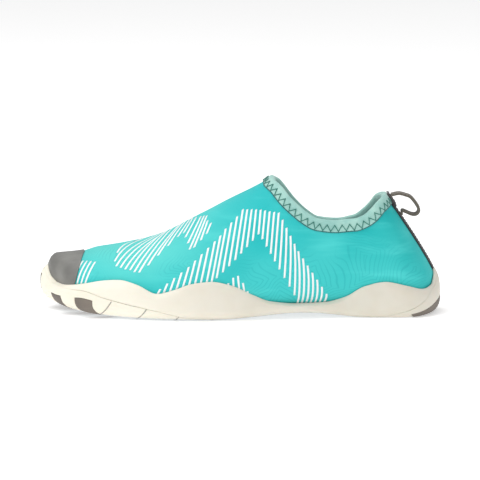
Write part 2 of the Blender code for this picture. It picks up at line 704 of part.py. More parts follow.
def collar_band(edge, k, drop):
    """Where a line drawn across the collar's edge is on the face after a drop."""
    t, side, z = edge[k]
    here, before, after = (
        overlay_point(u, s, arch_share(u, h), 0.0)
        for u, s, h in (edge[k], edge[k - 1], edge[(k + 1) % len(edge)]))
    run = (after - before).normalized()
    normal = (overlay_point(t, side, arch_share(t, z), 1.0) - here).normalized()
    down = run.cross(normal).normalized()
    if t > 0.999999:
        return 1.0, side, arch_share(1.0, z - drop * 0.86)
    if down.z > 0:
        down = -down
    if k == 0:
        down.y = 0
    t, side, share = on_face(here + down * drop, side)
    return t, side, (1.0 if k == 0 else share)


def make_binding():
    """A soft band folded over the collar's edge."""
    edge = collar_edge()
    outside, inside = 2.2 * CLEARANCE, -(UPPER_WALL + 2.5 * CLEARANCE)
    sections = []
    for k in range(len(edge)):
        top, mid, low, low_in = (
            collar_band(edge, k, drop)
            for drop in (0.0, BINDING_WIDTH / 2, BINDING_WIDTH, BINDING_INNER_WIDTH))
        up = (overlay_point(*top, 0) - overlay_point(*mid, 0)).normalized()
        rise, wall = 2.8 * CLEARANCE, BINDING_THICKNESS
        sections.append([
            overlay_point(*low, outside),
            overlay_point(*low, outside + wall),
            overlay_point(*mid, outside + wall),
            overlay_point(*top, outside + wall),
            overlay_point(*top, outside + wall * 0.3) + up * (rise + wall * 0.85),
            overlay_point(*top, inside - wall * 0.3) + up * (rise + wall * 0.85),
            overlay_point(*top, inside - wall),
            overlay_point(*low_in, inside - wall),
            overlay_point(*low_in, inside),
            overlay_point(*top, inside) + up * rise,
            overlay_point(*top, outside) + up * rise,
            overlay_point(*mid, outside),
        ])
    count = len(sections[0])
    points = [p for section in sections for p in section]
    total = len(sections)
    faces = [
        (k * count + i, (k + 1) % total * count + i,
         (k + 1) % total * count + (i + 1) % count, k * count + (i + 1) % count)
        for k in range(total) for i in range(count)]
    mesh_object("collar_binding", points, faces, "binding_fabric")


def tape_lift(z):
    """How far the heel tape lies off the upper: it steps out over the binding."""
    step = (z - (HEEL_HEIGHT - 1.5 * BINDING_WIDTH)) / (0.4 * BINDING_WIDTH)
    step = min(1.0, max(0.0, step))
    return CLEARANCE + (BINDING_THICKNESS + 2.5 * CLEARANCE) * step * step * (3 - 2 * step)


def make_heel_tape():
    """A woven tape over the back seam, from the sole's rim to the collar's top."""
    low = wave_height(1.0, 1) + 2 * CLEARANCE
    top = HEEL_HEIGHT + CLEARANCE
    heights = [low + (top - low) * u for u in (0.0, 0.2, 0.4, 0.6, 0.76, 0.79, 0.82, 0.85, 0.92, 1.0)]

    def grid(thickness):
        columns = []
        for z in heights:
            column = []
            for y in (-0.5, -0.25, 0.0, 0.25, 0.5):
                side = 1 if y > 0 else -1
                t = heel_station(abs(y) * TAPE_WIDTH, side, z) if y else 1.0
                share = arch_share(t, z)
                column.append(overlay_point(t, side, share, tape_lift(z) + thickness))
            columns.append(column)
        return columns

    sheet_solid("heel_tape", grid(0.0), grid(TAPE_THICKNESS), "webbing")


def make_pull_loop():
    """A folded ribbon that stands off the heel tape."""
    def face(z):
        lift = tape_lift(z) + TAPE_THICKNESS + CLEARANCE
        return overlay_point(1.0, 1, arch_share(1.0, z), lift)

    upper_end = face(HEEL_HEIGHT - LOOP_THICKNESS)
    lower_end = face(HEEL_HEIGHT - LOOP_THICKNESS - LOOP_FOOT_DROP)
    path = [
        Vector((upper_end.x + dx * LOOP_REACH, 0, upper_end.z + dz * LOOP_REACH))
        for dx, dz in LOOP_SHAPE]
    path = [upper_end + Vector((LOOP_THICKNESS * 0.3, 0, 0))] + path + [lower_end + Vector((LOOP_THICKNESS * 0.3, 0, 0))]
    half = LOOP_THICKNESS / 2
    inner, outer = [], []
    for k, p in enumerate(path):
        a, b = path[max(0, k - 1)], path[min(len(path) - 1, k + 1)]
        run = (b - a).normalized()
        across = Vector((-run.z, 0, run.x)) * half
        if k in (0, len(path) - 1):
            across = Vector((0, 0, math.copysign(half, across.z)))
        inner.append([p + across * -1 + Vector((0, y * LOOP_WIDTH, 0)) for y in (-0.5, 0.5)])
        outer.append([p + across + Vector((0, y * LOOP_WIDTH, 0)) for y in (-0.5, 0.5)])
    sheet_solid("pull_loop", inner, outer, "webbing")


def clear_scene():
    for obj in list(bpy.data.objects):
        bpy.data.objects.remove(obj)


def new_collection(name):
    collection = bpy.data.collections.new(name)
    bpy.context.scene.collection.children.link(collection)
    return collection


clear_scene()
PARTS = new_collection("water_shoe")
CUTTERS = new_collection("cutters")
make_materials()
make_upper()
make_insole()
make_midsole()
make_outsole()
make_toe_cap()
make_binding()
make_heel_tape()
make_pull_loop()
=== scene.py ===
import math

import bmesh
import bpy
import numpy as np
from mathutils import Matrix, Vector


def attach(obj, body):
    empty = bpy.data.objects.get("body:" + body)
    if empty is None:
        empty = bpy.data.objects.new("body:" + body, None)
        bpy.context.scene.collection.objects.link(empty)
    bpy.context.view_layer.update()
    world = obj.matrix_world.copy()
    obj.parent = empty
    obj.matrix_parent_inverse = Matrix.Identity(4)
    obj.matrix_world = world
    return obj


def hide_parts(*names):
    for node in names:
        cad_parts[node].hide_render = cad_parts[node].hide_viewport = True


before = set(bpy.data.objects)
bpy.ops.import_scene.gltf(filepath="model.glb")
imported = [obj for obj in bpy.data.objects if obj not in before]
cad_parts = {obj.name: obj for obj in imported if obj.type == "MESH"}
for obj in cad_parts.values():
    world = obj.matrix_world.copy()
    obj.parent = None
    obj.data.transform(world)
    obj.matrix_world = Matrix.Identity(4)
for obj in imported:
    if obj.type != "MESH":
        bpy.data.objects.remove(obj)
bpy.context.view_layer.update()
print("frame loaded:", len(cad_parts), "nodes")

# Sizes of the last and the sole
shoe = {
    "length": 0.262, "ballWidth": 0.099, "instep": 0.0865, "heelHeight": 0.0760, "heelLean": 0.0318,
    "crest": 0.0255, "toeSpring": 0.0070, "springCurve": 1.8, "archLift": 0.0036, "archCurve": 1.2,
    "heelBevel": 0.0010, "medialCrease": 0.003, "archRun": 0.055,
    "gap": 0.0003, "wall": 0.0018, "outsole": 0.0024, "midsoleHeel": 0.0042,
    "shoulder": 0.009, "tuck": 0.0055, "toeRim": 0.0060, "heelRim": 0.0045, "bulge": 0.0042,
    "rim": 0.0013, "wallFullness": 3.4, "wrapTaper": 0.60, "lugDepth": 0.0010,
    "toeRoundIn": 0.0100, "toeRoundUp": 0.0120, "heelRoundIn": 0.0060, "heelRoundUp": 0.0090,
    "sideRoundUp": 0.008, "sideRoundShare": 0.75,
    "forefootFlat": (0.305, 0.428), "heelFlat": (0.817, 0.931),
    "toeRounding": (0.16, 2.3), "heelRounding": (0.115, 2.5), "collarFront": 0.582,
}
upperSpan = shoe["length"] - shoe["toeRim"] - shoe["heelRim"]
tables = {    # in thousandths
    "outline": {
        "along":      (0, 20, 45, 76, 153, 250, 363, 458, 573, 668, 763, 840, 897, 947, 1000),
        "centre":     (80, 77, 70, 60, 40, 15, 0, 0, 0, 0, 0, 0, 0, 0, 0),
        "lateral":    (265, 285, 355, 385, 434, 480, 500, 485, 439, 394, 359, 352, 352, 348, 300),
        "medial":     (275, 300, 355, 380, 414, 477, 460, 389, 333, 318, 328, 333, 325, 320, 265),
        "lateralIn":  (60, 60, 60, 60, 75, 100, 100, 100, 80, 60, 55, 45, 40, 35, 35),
        "medialIn":   (60, 60, 60, 60, 70, 85, 95, 115, 130, 115, 85, 60, 45, 40, 40),
    },
    "ridge": {
        "along":  (0, 8, 20, 48, 85, 123, 157, 209, 261, 313, 366, 417, 469, 521, 569, 672, 770, 1000),
        "height": (71, 135, 167, 173, 189, 238, 262, 300, 351, 432, 547, 657, 773, 880, 985, 1203, 1302, 1320),
    },
    "section": {
        "along":    (0, 150, 300, 450, 580, 750, 1000),
        "fullness": (2350, 2300, 2200, 2150, 2150, 2150, 2100),
        "shift":    (0, 10, 30, 40, 30, 10, 0),
    },
    "collar": {
        "along":   (582, 598, 614, 629, 649, 676, 716, 775, 831, 869, 915, 960, 1000),
        "lateral": (1000, 972, 934, 892, 845, 787, 730, 714, 726, 748, 801, 851, 878),
        "medial":  (1000, 968, 918, 862, 792, 722, 655, 640, 667, 712, 780, 845, 878),
    },
    "wave": {
        "along": (
            0, 4, 13, 26, 40, 66, 95, 150, 190, 235, 285, 330, 375, 425, 475, 530, 575, 650, 715, 765, 815,
            870, 925, 970, 990, 1000),
        "lateral": (
            1120, 980, 855, 770, 755, 790, 850, 970, 1000, 900, 690, 800, 950, 1000, 900, 650, 470, 385,
            400, 530, 800, 915, 805, 690, 760, 1110),
        "medial": (
            1120, 1140, 1190, 1220, 1220, 1140, 1050, 990, 1000, 950, 830, 720, 660, 640, 680, 760, 800,
            740, 680, 720, 840, 930, 850, 730, 800, 1110),
    },
    "wrap": {
        "along":   (0, 12, 30, 60, 110, 165, 205, 255, 305, 340, 375, 420, 860, 900, 930, 950, 970, 985, 1000),
        "outsole": (
            830, 770, 700, 570, 610, 500, 430, 345, 240, 140, 65, 31, 31, 129, 235, 353, 530, 700, 920),
        "lug":     (700, 600, 340, 355, 425, 330, 196, 137, 86, 55, 35, 20, 16, 52, 88, 135, 205, 300, 420),
    },
    "floor": {
        "along":     (0, 350, 500, 650, 850, 1000),
        "thickness": (720, 720, 430, 430, 1000, 1000),
    },
}


def smoothCurve(along, values, samples=1600):    # passes through the rows and never overshoots them
    x, y = np.array(along) / 1000, np.array(values) / 1000
    slope = np.diff(y) / np.diff(x)
    tangent = np.zeros_like(y)
    tangent[0], tangent[-1] = slope[0], slope[-1]
    rising = slope[:-1] * slope[1:] > 0
    both = np.where(rising, slope[:-1] + slope[1:], 1.0)
    tangent[1:-1] = np.where(rising, 2 * slope[:-1] * slope[1:] / both, 0.0)
    t = np.linspace(x[0], x[-1], samples + 1)
    k = np.clip(np.searchsorted(x, t, side="right") - 1, 0, len(x) - 2)
    width = x[k + 1] - x[k]
    u = (t - x[k]) / width
    drawn = (y[k] * (1 + 2 * u) * (1 - u) ** 2 + y[k + 1] * u * u * (3 - 2 * u)
             + width * tangent[k] * u * (1 - u) ** 2 - width * tangent[k + 1] * u * u * (1 - u)).tolist()
    first, span = float(x[0]), float(x[-1] - x[0])

    def at(place):
        step = min(max((place - first) / span, 0.0), 1.0) * samples
        low = min(int(step), samples - 1)
        return drawn[low] + (drawn[low + 1] - drawn[low]) * (step - low)

    return at


curves = {
    (kind, column): smoothCurve(table["along"], table[column])
    for kind, table in tables.items() for column in table if column != "along"}


def sideName(side):
    return "medial" if side > 0 else "lateral"


def endRounding(t):
    toe, toePower = shoe["toeRounding"]
    heel, heelPower = shoe["heelRounding"]
    if t < toe:
        return max(0.0, 1 - (1 - t / toe) ** toePower) ** (1 / toePower)
    if t > 1 - heel:
        return max(0.0, 1 - (1 - (1 - t) / heel) ** heelPower) ** (1 / heelPower)
    return 1.0


def endShare(t):
    return max(0.0, 1 - t / shoe["toeRounding"][0]) ** 2 + max(0.0, 1 - (1 - t) / shoe["heelRounding"][0]) ** 2


def centreLine(t):
    return curves["outline", "centre"](t) * shoe["ballWidth"]


def halfWidth(t, side, grow=0.0):
    return (curves["outline", sideName(side)](t) * shoe["ballWidth"] + grow) * endRounding(t)


def treadRise(share):
    forefoot, heel = shoe["forefootFlat"], shoe["heelFlat"]
    if share < forefoot[0]:
        return shoe["toeSpring"] * (1 - share / forefoot[0]) ** shoe["springCurve"]
    if share < forefoot[1]:
        return 0.0
    if share < heel[0]:
        u = (share - forefoot[1]) / (heel[0] - forefoot[1])
        return shoe["archLift"] * math.sin(math.pi * u ** shoe["archCurve"]) ** 2
    if share < heel[1]:
        return 0.0
    return shoe["heelBevel"] * ((share - heel[1]) / (1 - heel[1])) ** 2


def treadAlong(t):
    return shoe["toeRoundIn"] + t * (shoe["length"] - shoe["toeRoundIn"] - shoe["heelRoundIn"])


def treadHeight(t):
    return treadRise(treadAlong(t) / shoe["length"])


def waveHeight(t, side):
    return curves["wave", sideName(side)](t) * shoe["crest"]


def roundHeight(t, side):
    end = shoe["toeRoundUp"] if t < 0.5 else shoe["heelRoundUp"]
    height = shoe["sideRoundUp"] + (end - shoe["sideRoundUp"]) * endShare(t)
    return min(height, shoe["sideRoundShare"] * (waveHeight(t, side) - treadHeight(t)))


def featherHeight(t):
    midsole = curves["floor", "thickness"](t) * shoe["midsoleHeel"]
    return treadHeight(t) + shoe["outsole"] + midsole + 2 * shoe["gap"]


def ridgeHeight(t):
    return shoe["crest"] + curves["ridge", "height"](t) * (shoe["instep"] - shoe["crest"])


def leanAt(t, z):
    weight = max(0.0, (t - 0.55) / 0.45) ** 1.6
    rise = max(0.0, (z - shoe["crest"]) / (shoe["heelHeight"] - shoe["crest"]))
    return shoe["heelLean"] * weight * rise ** 1.12


def place(along, y, z):
    return Vector((along - shoe["length"] / 2, y, z))


def lastPoint(t, side, z, grow=0.0):    # a point of the upper's outer face, moved out by grow
    width = halfWidth(t, side, grow - shoe["bulge"])
    zFeather = featherHeight(t)
    zWidest = zFeather + shoe["shoulder"]
    tuck = rise = 0.0
    if z < zWidest:
        drop = min(1.0, (zWidest - z) / (zWidest - zFeather))
        tuck = shoe["tuck"] * (1 - math.sqrt(1 - drop * drop))
        y = width - tuck * endRounding(t)
    else:
        power = curves["section", "fullness"](t)
        rise = min(1.0, (z - zWidest) / (ridgeHeight(t) + grow - zWidest))
        y = width * (1 - rise ** power) ** (1 / power)
    grow -= tuck
    along = shoe["toeRim"] - grow + t * (upperSpan + 2 * grow) - leanAt(t, z)
    shift = curves["section", "shift"](t) * shoe["ballWidth"]
    return place(along, centreLine(t) + shift * rise ** 2 + side * y, z)


def archHeight(t, share):    # share 0 is the widest line and 1 the ridge; below 0 it goes down to the feather
    zWidest = featherHeight(t) + shoe["shoulder"]
    if share < 0:
        return zWidest + share * shoe["shoulder"]
    power = curves["section", "fullness"](t)
    return zWidest + (ridgeHeight(t) - zWidest) * math.sin(min(share, 1.0) * math.pi / 2) ** (2 / power)


def archShare(t, z):
    zWidest = featherHeight(t) + shoe["shoulder"]
    if z < zWidest:
        return (z - zWidest) / shoe["shoulder"]
    rise = min(1.0, (z - zWidest) / (ridgeHeight(t) - zWidest))
    return math.asin(rise ** (curves["section", "fullness"](t) / 2)) * 2 / math.pi


def collarHeight(t, side):
    backHeight = tables["collar"]["lateral"][-1] / 1000 * shoe["instep"]
    return curves["collar", sideName(side)](t) * shoe["instep"] * (
        1 + (shoe["heelHeight"] / backHeight - 1) * max(0.0, (t - 0.8) / 0.2))


# Soft troughs and ridges of the fabric: where they are (along, arch share), the way they run,
# their length and width in metres, and how deep or proud they are
creases = {
    "along":  (0.050, 0.058, 0.066, 0.100, 0.112, 0.122, 0.140, 0.150, 0.158, 0.176, 0.205, 0.222, 0.232),
    "share":  (0.20, 0.16, 0.26, 0.58, 0.66, 0.74, 0.62, 0.54, 0.72, 0.42, 0.38, 0.30, 0.62),
    "angle":  (72, 66, 60, 30, 26, 24, 48, 42, 60, 10, -24, -34, 80),
    "length": (0.016, 0.018, 0.020, 0.034, 0.038, 0.030, 0.028, 0.034, 0.022, 0.040, 0.034, 0.026, 0.016),
    "width": (
        0.0020, 0.0022, 0.0026, 0.0040, 0.0042, 0.0036, 0.0036, 0.0040, 0.0030, 0.0046, 0.0040, 0.0036,
        0.0028),
    "depth": (
        -0.00032, 0.00022, -0.00026, -0.00030, 0.00026, -0.00026, 0.00026, -0.00034, -0.00026, -0.00030,
        -0.00032, 0.00026, 0.00022),
}
creaseRows = [
    (along, share, math.cos(math.radians(angle)), math.sin(math.radians(angle)), length / 2, width, depth)
    for along, share, angle, length, width, depth in zip(*creases.values())]


def creaseLift(t, side, share):
    if share < 0:
        return 0.0
    along = t * shoe["length"]
    lift = 0.0
    for a, s, c, n, half, width, depth in creaseRows:
        a -= shoe["medialCrease"] * (side > 0)
        u, v = along - a, (share - s) * shoe["archRun"]
        run, across = u * c + v * n, -u * n + v * c
        near = (run / half) ** 2 + (across / width) ** 2
        if near < 8:
            lift += depth * math.exp(-near)
    return lift


def facePoint(t, side, share, lift=0.0):    # on the creased face; past share 1 it goes over the ridge
    if share > 1:
        side, share = -side, 2 - share
    t0, t1 = max(0.0, t - 1e-4), min(1.0, t + 1e-4)
    here = lastPoint(t, side, archHeight(t, share))
    run = lastPoint(t1, side, archHeight(t1, share)) - lastPoint(t0, side, archHeight(t0, share))
    if share > 1 - 1e-3:
        up = lastPoint(t, side, archHeight(t, share)) - lastPoint(t, side, archHeight(t, share - 1e-3))
    else:
        up = lastPoint(t, side, archHeight(t, share + 1e-3)) - here
    normal = run.cross(up) * -side
    if share > 0.9999 or t < 1e-6 or t > 1 - 1e-6:
        normal.y = 0
    return here + normal.normalized() * (lift + creaseLift(t, side, share))


def soleForm(t, side, v, depth=0.0, gap=0.0):    # v 0 tread edge, 0.5 top of the rounding, 1 top of the wall
    name = sideName(side)
    inset = gap + depth * (1 - shoe["wrapTaper"] * max(0.0, (v - 0.35) / 0.65))
    treadIn = curves["outline", name + "In"](t) * shoe["ballWidth"]
    zTread, height = treadHeight(t), roundHeight(t, side)
    tread = Vector((treadAlong(t), halfWidth(t, side, -treadIn)))
    widest = Vector((inset + t * (shoe["length"] - 2 * inset), halfWidth(t, side, -inset)))
    if v <= 0.5:
        flat = tread.lerp(widest, math.sin(v * math.pi))
        z = zTread + height - (height - inset) * math.cos(v * math.pi)
    else:
        zTop = waveHeight(t, side)
        rise = (v - 0.5) * 2
        top = lastPoint(t, side, zTop, shoe["gap"] + shoe["rim"] - inset)
        topFlat = Vector((top.x + shoe["length"] / 2, abs(top.y - centreLine(t))))
        flat = widest.lerp(topFlat, rise ** shoe["wallFullness"])
        z = zTread + height + (zTop - zTread - height) * rise
    return place(flat.x, centreLine(t) + side * flat.y, z)


def wrapLevel(t, side, column):
    reach = curves["wrap", column](t) * shoe["crest"]
    height = roundHeight(t, side)
    if reach < height:
        return math.acos((height - reach) / height) / math.pi
    return min(0.93, 0.5 + 0.5 * (reach - height) / (waveHeight(t, side) - treadHeight(t) - height))


def evenly(fine, point, count):    # stations evenly spaced along the line that point draws
    spots = np.array([point(t) for t in fine])
    run = np.concatenate([[0], np.cumsum(np.linalg.norm(np.diff(spots, axis=0), axis=1))])
    return [float(t) for t in np.interp(np.linspace(0, run[-1], count + 1), run, fine)]


def halved(low, high, steps, tooLow):    # the place between low and high where tooLow ends
    for _ in range(steps):
        middle = (low + high) / 2
        if tooLow(middle):
            low = middle
        else:
            high = middle
    return middle


def bend(a, b, c, d, steps):    # points of a smooth curve from b towards c
    return [
        0.5 * (2 * b + (c - a) * u + (2 * a - 5 * b + 4 * c - d) * u * u + (3 * b - a - 3 * c + d) * u ** 3)
        for u in (step / steps for step in range(steps))]


def faceAt(t, side, z, lift=0.0):
    return facePoint(t, side, archShare(t, z), lift)


roundShares = [(1 - math.cos(math.pi * k / 2000)) / 2 for k in range(2001)]    # closer at toe and heel


# Mesh helpers
def gridFaces(columns, rows, start=0, loop=False):
    last = columns if loop else columns - 1
    return [
        (start + c * rows + r, start + (c + 1) % columns * rows + r,
         start + (c + 1) % columns * rows + r + 1, start + c * rows + r + 1)
        for c in range(last) for r in range(rows - 1)]


def addObject(name, data):
    thing = bpy.data.objects.new(name, data)
    bpy.context.scene.collection.objects.link(thing)
    return thing


def newPiece(name, points, faces, uvs=None, smooth=True):
    mesh = bpy.data.meshes.new(name)
    mesh.from_pydata([tuple(p) for p in points], [], faces)
    if uvs is not None:
        layer = mesh.uv_layers.new(name="weave")
        for loop in mesh.loops:
            layer.data[loop.index].uv = uvs[loop.vertex_index]
    form = bmesh.new()
    form.from_mesh(mesh)
    bmesh.ops.remove_doubles(form, verts=form.verts, dist=2e-6)
    bmesh.ops.dissolve_degenerate(form, edges=form.edges, dist=1e-6)
    bmesh.ops.recalc_face_normals(form, faces=form.faces)
    if not any(edge.is_boundary for edge in form.edges) and form.calc_volume(signed=True) < 0:
        bmesh.ops.reverse_faces(form, faces=form.faces)
    form.to_mesh(mesh)
    form.free()
    if smooth:
        mesh.shade_smooth()
    return addObject(name, mesh)


def addModifier(piece, kind, **settings):
    modifier = piece.modifiers.new(kind.title(), kind)
    for key, value in settings.items():
        setattr(modifier, key, value)
    return modifier


def bake(piece):    # turns a piece's modifiers into plain mesh
    graph = bpy.context.evaluated_depsgraph_get()
    mesh = bpy.data.meshes.new_from_object(piece.evaluated_get(graph))
    piece.modifiers.clear()
    piece.data = mesh
    return piece


def bevel(piece, width):
    addModifier(piece, "BEVEL", width=width, segments=2, limit_method="ANGLE", angle_limit=math.radians(50))
    return bake(piece)


def finishPiece(piece, node=None, slot=None, *materials):
    for material in materials:
        piece.data.materials.append(material)
    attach(piece, "root")
    if node:
        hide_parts(node)
    return piece


def sheetSolid(name, inner, outer):    # a closed sheet between two equal grids of points
    columns, rows = len(inner), len(inner[0])
    half = columns * rows
    faces = [face[::-1] for face in gridFaces(columns, rows)] + gridFaces(columns, rows, half)
    for c in range(columns - 1):
        for r in (0, rows - 1):
            faces.append((c * rows + r, (c + 1) * rows + r, half + (c + 1) * rows + r, half + c * rows + r))
    for c in (0, columns - 1):
        for r in range(rows - 1):
            faces.append((c * rows + r, c * rows + r + 1, half + c * rows + r + 1, half + c * rows + r))
    uvs = []
    for grid in (inner, outer):
        along = 0.0
        for c, column in enumerate(grid):
            if c:
                along += (column[rows // 2] - grid[c - 1][rows // 2]).length
            across = 0.0
            for r, p in enumerate(column):
                if r:
                    across += (p - column[r - 1]).length
                uvs.append((along, across))
    return newPiece(name, [p for grid in (inner, outer) for column in grid for p in column], faces, uvs)


# Node helpers
def addNode(tree, kind, inputs=None, **settings):
    node = tree.nodes.new(kind)
    for key, value in settings.items():
        setattr(node, key, value)
    for key, value in (inputs or {}).items():
        if isinstance(value, bpy.types.NodeSocket):
            tree.links.new(value, node.inputs[key])
        else:
            node.inputs[key].default_value = value
    return node


def nodeOut(tree, kind, inputs=None, **settings):
    return addNode(tree, kind, inputs, **settings).outputs[0]


def axesOf(tree, vector):
    return addNode(tree, "ShaderNodeSeparateXYZ", {"Vector": vector}).outputs


def sums(tree, operation, *values, clamp=False):
    return nodeOut(tree, "ShaderNodeMath", dict(enumerate(values)), operation=operation, use_clamp=clamp)


def times(tree, value, *others):
    for other in others:
        value = sums(tree, "MULTIPLY", value, other)
    return value


def mixColour(tree, factor, a, b):
    node = addNode(tree, "ShaderNodeMix", data_type="RGBA")
    for socket, value in zip((node.inputs[0], node.inputs[6], node.inputs[7]), (factor, a, b)):
        if isinstance(value, bpy.types.NodeSocket):
            tree.links.new(value, socket)
        elif socket.type == "RGBA":
            socket.default_value = (*value, 1)
        else:
            socket.default_value = value
    return node.outputs[2]


def between(tree, value, low, high, first=0.0, last=1.0):
    return nodeOut(tree, "ShaderNodeMapRange", {
        "Value": value, "From Min": low, "From Max": high, "To Min": first, "To Max": last},
        interpolation_type="SMOOTHSTEP")


def newMaterial(name, constants):    # the material, its tree and its coordinates
    material = bpy.data.materials.new(name)
    material.use_nodes = True
    tree = material.node_tree
    for key, value in constants.items():
        tree.nodes["Principled BSDF"].inputs[key].default_value = value
    return material, tree, addNode(tree, "ShaderNodeTexCoord").outputs


def dress(material, colour, layers, roughness=None):    # bump layers: height, distance in metres, strength
    tree = material.node_tree
    shader = tree.nodes["Principled BSDF"].inputs
    tree.links.new(colour, shader["Base Color"])
    if roughness is not None:
        tree.links.new(roughness, shader["Roughness"])
    normal = None
    for height, distance, strength in layers:
        inputs = {"Height": height, "Distance": distance, "Strength": strength}
        if normal:
            inputs["Normal"] = normal
        normal = nodeOut(tree, "ShaderNodeBump", inputs)
    tree.links.new(normal, shader["Normal"])
    return material


def scaled(tree, vector, scale):
    return nodeOut(tree, "ShaderNodeMapping", {"Vector": vector, "Scale": scale})


def noiseOn(tree, vector, scale, detail=3.0, roughness=0.5):
    return nodeOut(tree, "ShaderNodeTexNoise", {
        "Vector": vector, "Scale": scale, "Detail": detail, "Roughness": roughness})


def cellsOn(tree, vector, scale):
    return addNode(tree, "ShaderNodeTexVoronoi", {"Vector": vector, "Scale": scale}).outputs["Distance"]


def weaveOn(tree, uv, *pitches):    # a plain weave on a UV map in metres
    waves = (times(tree, axis, math.tau / pitch) for axis, pitch in zip(axesOf(tree, uv), pitches))
    return times(tree, *(sums(tree, "SINE", wave) for wave in waves))


# Stretch fabric upper
upper = {
    "stations": 168, "archRows": 44, "lowRows": (-1.0, -0.75, -0.5, -0.25), "knitPitch": 0.0009,
    "teal": (0.014, 0.490, 0.500), "deep": (0.010, 0.360, 0.390), "light": (0.080, 0.660, 0.640),
    # painted light on the next line: its first teal is a painted highlight on the vamp, its second teal a painted
    # shade at the heel end
    "vampHighlight": (0.100, 0.640, 0.600), "shade": (0.010, 0.460, 0.460), "cells": 27.0, "linePitch": 0.0022,
    "lining": (0.50, 0.66, 0.63), "liningPale": (0.58, 0.72, 0.70),
}


def makeUpper():
    front = shoe["collarFront"]
    stations = evenly(
        roundShares, lambda t: lastPoint(t, -1, featherHeight(t) + shoe["shoulder"]), upper["stations"])
    stations[min(range(len(stations)), key=lambda i: abs(stations[i] - front))] = front
    points, faces, uvs = [], [], []
    low = list(upper["lowRows"])
    for side in (-1, 1):
        start = len(points)
        for t in stations:
            top = 1.0 if t <= front + 1e-9 else archShare(t, collarHeight(t, side))
            shares = low + [top * r / upper["archRows"] for r in range(upper["archRows"] + 1)]
            column = [facePoint(t, side, share) for share in shares]
            up = 0.0
            for r, p in enumerate(column):
                up += (p - column[r - 1]).length if r else 0.0
                uvs.append((t * shoe["length"], side * up))
            points += column
        faces += gridFaces(len(stations), len(low) + upper["archRows"] + 1, start)
    piece = newPiece("upperFabric", points, faces, uvs)
    addModifier(
        piece, "SOLIDIFY", thickness=shoe["wall"] * 0.9, offset=-1, use_even_offset=True, use_rim=True,
        material_offset=1)
    return bake(piece)


def fabricMaterial():
    material, tree, spot = newMaterial("printedStretchFabric", {
        "Roughness": 0.60, "Sheen Weight": 0.07, "Sheen Roughness": 0.35, "Sheen Tint": (0.6, 1.0, 1.0, 1),
        "Specular IOR Level": 0.25})
    where = spot["Object"]
    drift = addNode(tree, "ShaderNodeTexNoise", {"Vector": where, "Scale": 30.0, "Detail": 2.0}).outputs["Color"]
    moved = nodeOut(tree, "ShaderNodeVectorMath", {0: drift, "Scale": 0.022}, operation="SCALE")
    bent = nodeOut(tree, "ShaderNodeVectorMath", {0: where, 1: moved}, operation="ADD")
    cells = addNode(tree, "ShaderNodeTexVoronoi", {
        "Vector": scaled(tree, bent, (1.0, 0.8, 1.2)), "Scale": upper["cells"], "Randomness": 0.9},
        feature="DISTANCE_TO_EDGE")
    step = times(tree, cells.outputs["Distance"], 1 / (upper["linePitch"] * upper["cells"]))
    saw = sums(tree, "ABSOLUTE", sums(tree, "SUBTRACT", sums(tree, "FRACT", step), 0.5))
    line = between(tree, saw, 0.16, 0.05)
    patch = between(tree, noiseOn(tree, where, 22.0, 1.0), 0.45, 0.62)
    turned = nodeOut(tree, "ShaderNodeMapping", {
        "Vector": where, "Rotation": (0.0, math.radians(-16), 0.0), "Scale": (0.35, 0.6, 2.6)})
    streak = between(tree, noiseOn(tree, turned, 42.0, 3.0), 0.52, 0.74)
    broad = between(tree, noiseOn(tree, where, 16.0, 2.0), 0.38, 0.66)
    pale = sums(tree, "ADD", times(tree, broad, 0.55), times(tree, streak, 0.45), clamp=True)
    along, _, high = axesOf(tree, bent)
    # painted shade: towards the heel end the teal is mixed towards a darker teal, standing in for the light
    # falling off there
    base = mixColour(tree, between(tree, along, 0.02, 0.11), upper["teal"], upper["shade"])
    base = mixColour(tree, pale, base, upper["light"])
    # painted highlight: the top of the forefoot is mixed towards a lighter teal, standing in for the light
    # falling on the vamp
    vamp = times(tree, between(tree, along, 0.03, -0.060), between(tree, high, 0.020, 0.055))
    base = mixColour(tree, vamp, base, upper["vampHighlight"])
    base = mixColour(tree, times(tree, line, patch, 0.32), base, upper["deep"])
    knit = weaveOn(tree, spot["UV"], upper["knitPitch"], upper["knitPitch"] * 0.7)
    soft = noiseOn(tree, where, 60.0, 2.0)
    return dress(material, base, [(soft, 0.0006, 0.35), (knit, 0.00006, 0.55)])


def liningMaterial():
    material, tree, spot = newMaterial("brushedLining", {"Roughness": 0.9, "Sheen Weight": 0.35})
    mottle = between(tree, noiseOn(tree, spot["Object"], 90.0), 0.3, 0.7)
    return dress(
        material, mixColour(tree, mottle, upper["lining"], upper["liningPale"]),
        [(noiseOn(tree, spot["Object"], 900.0, 4.0), 0.0003, 0.5)])


fabric, lining = fabricMaterial(), liningMaterial()
finishPiece(makeUpper(), "upper", "stretch_fabric", fabric, lining)
print("upper made")

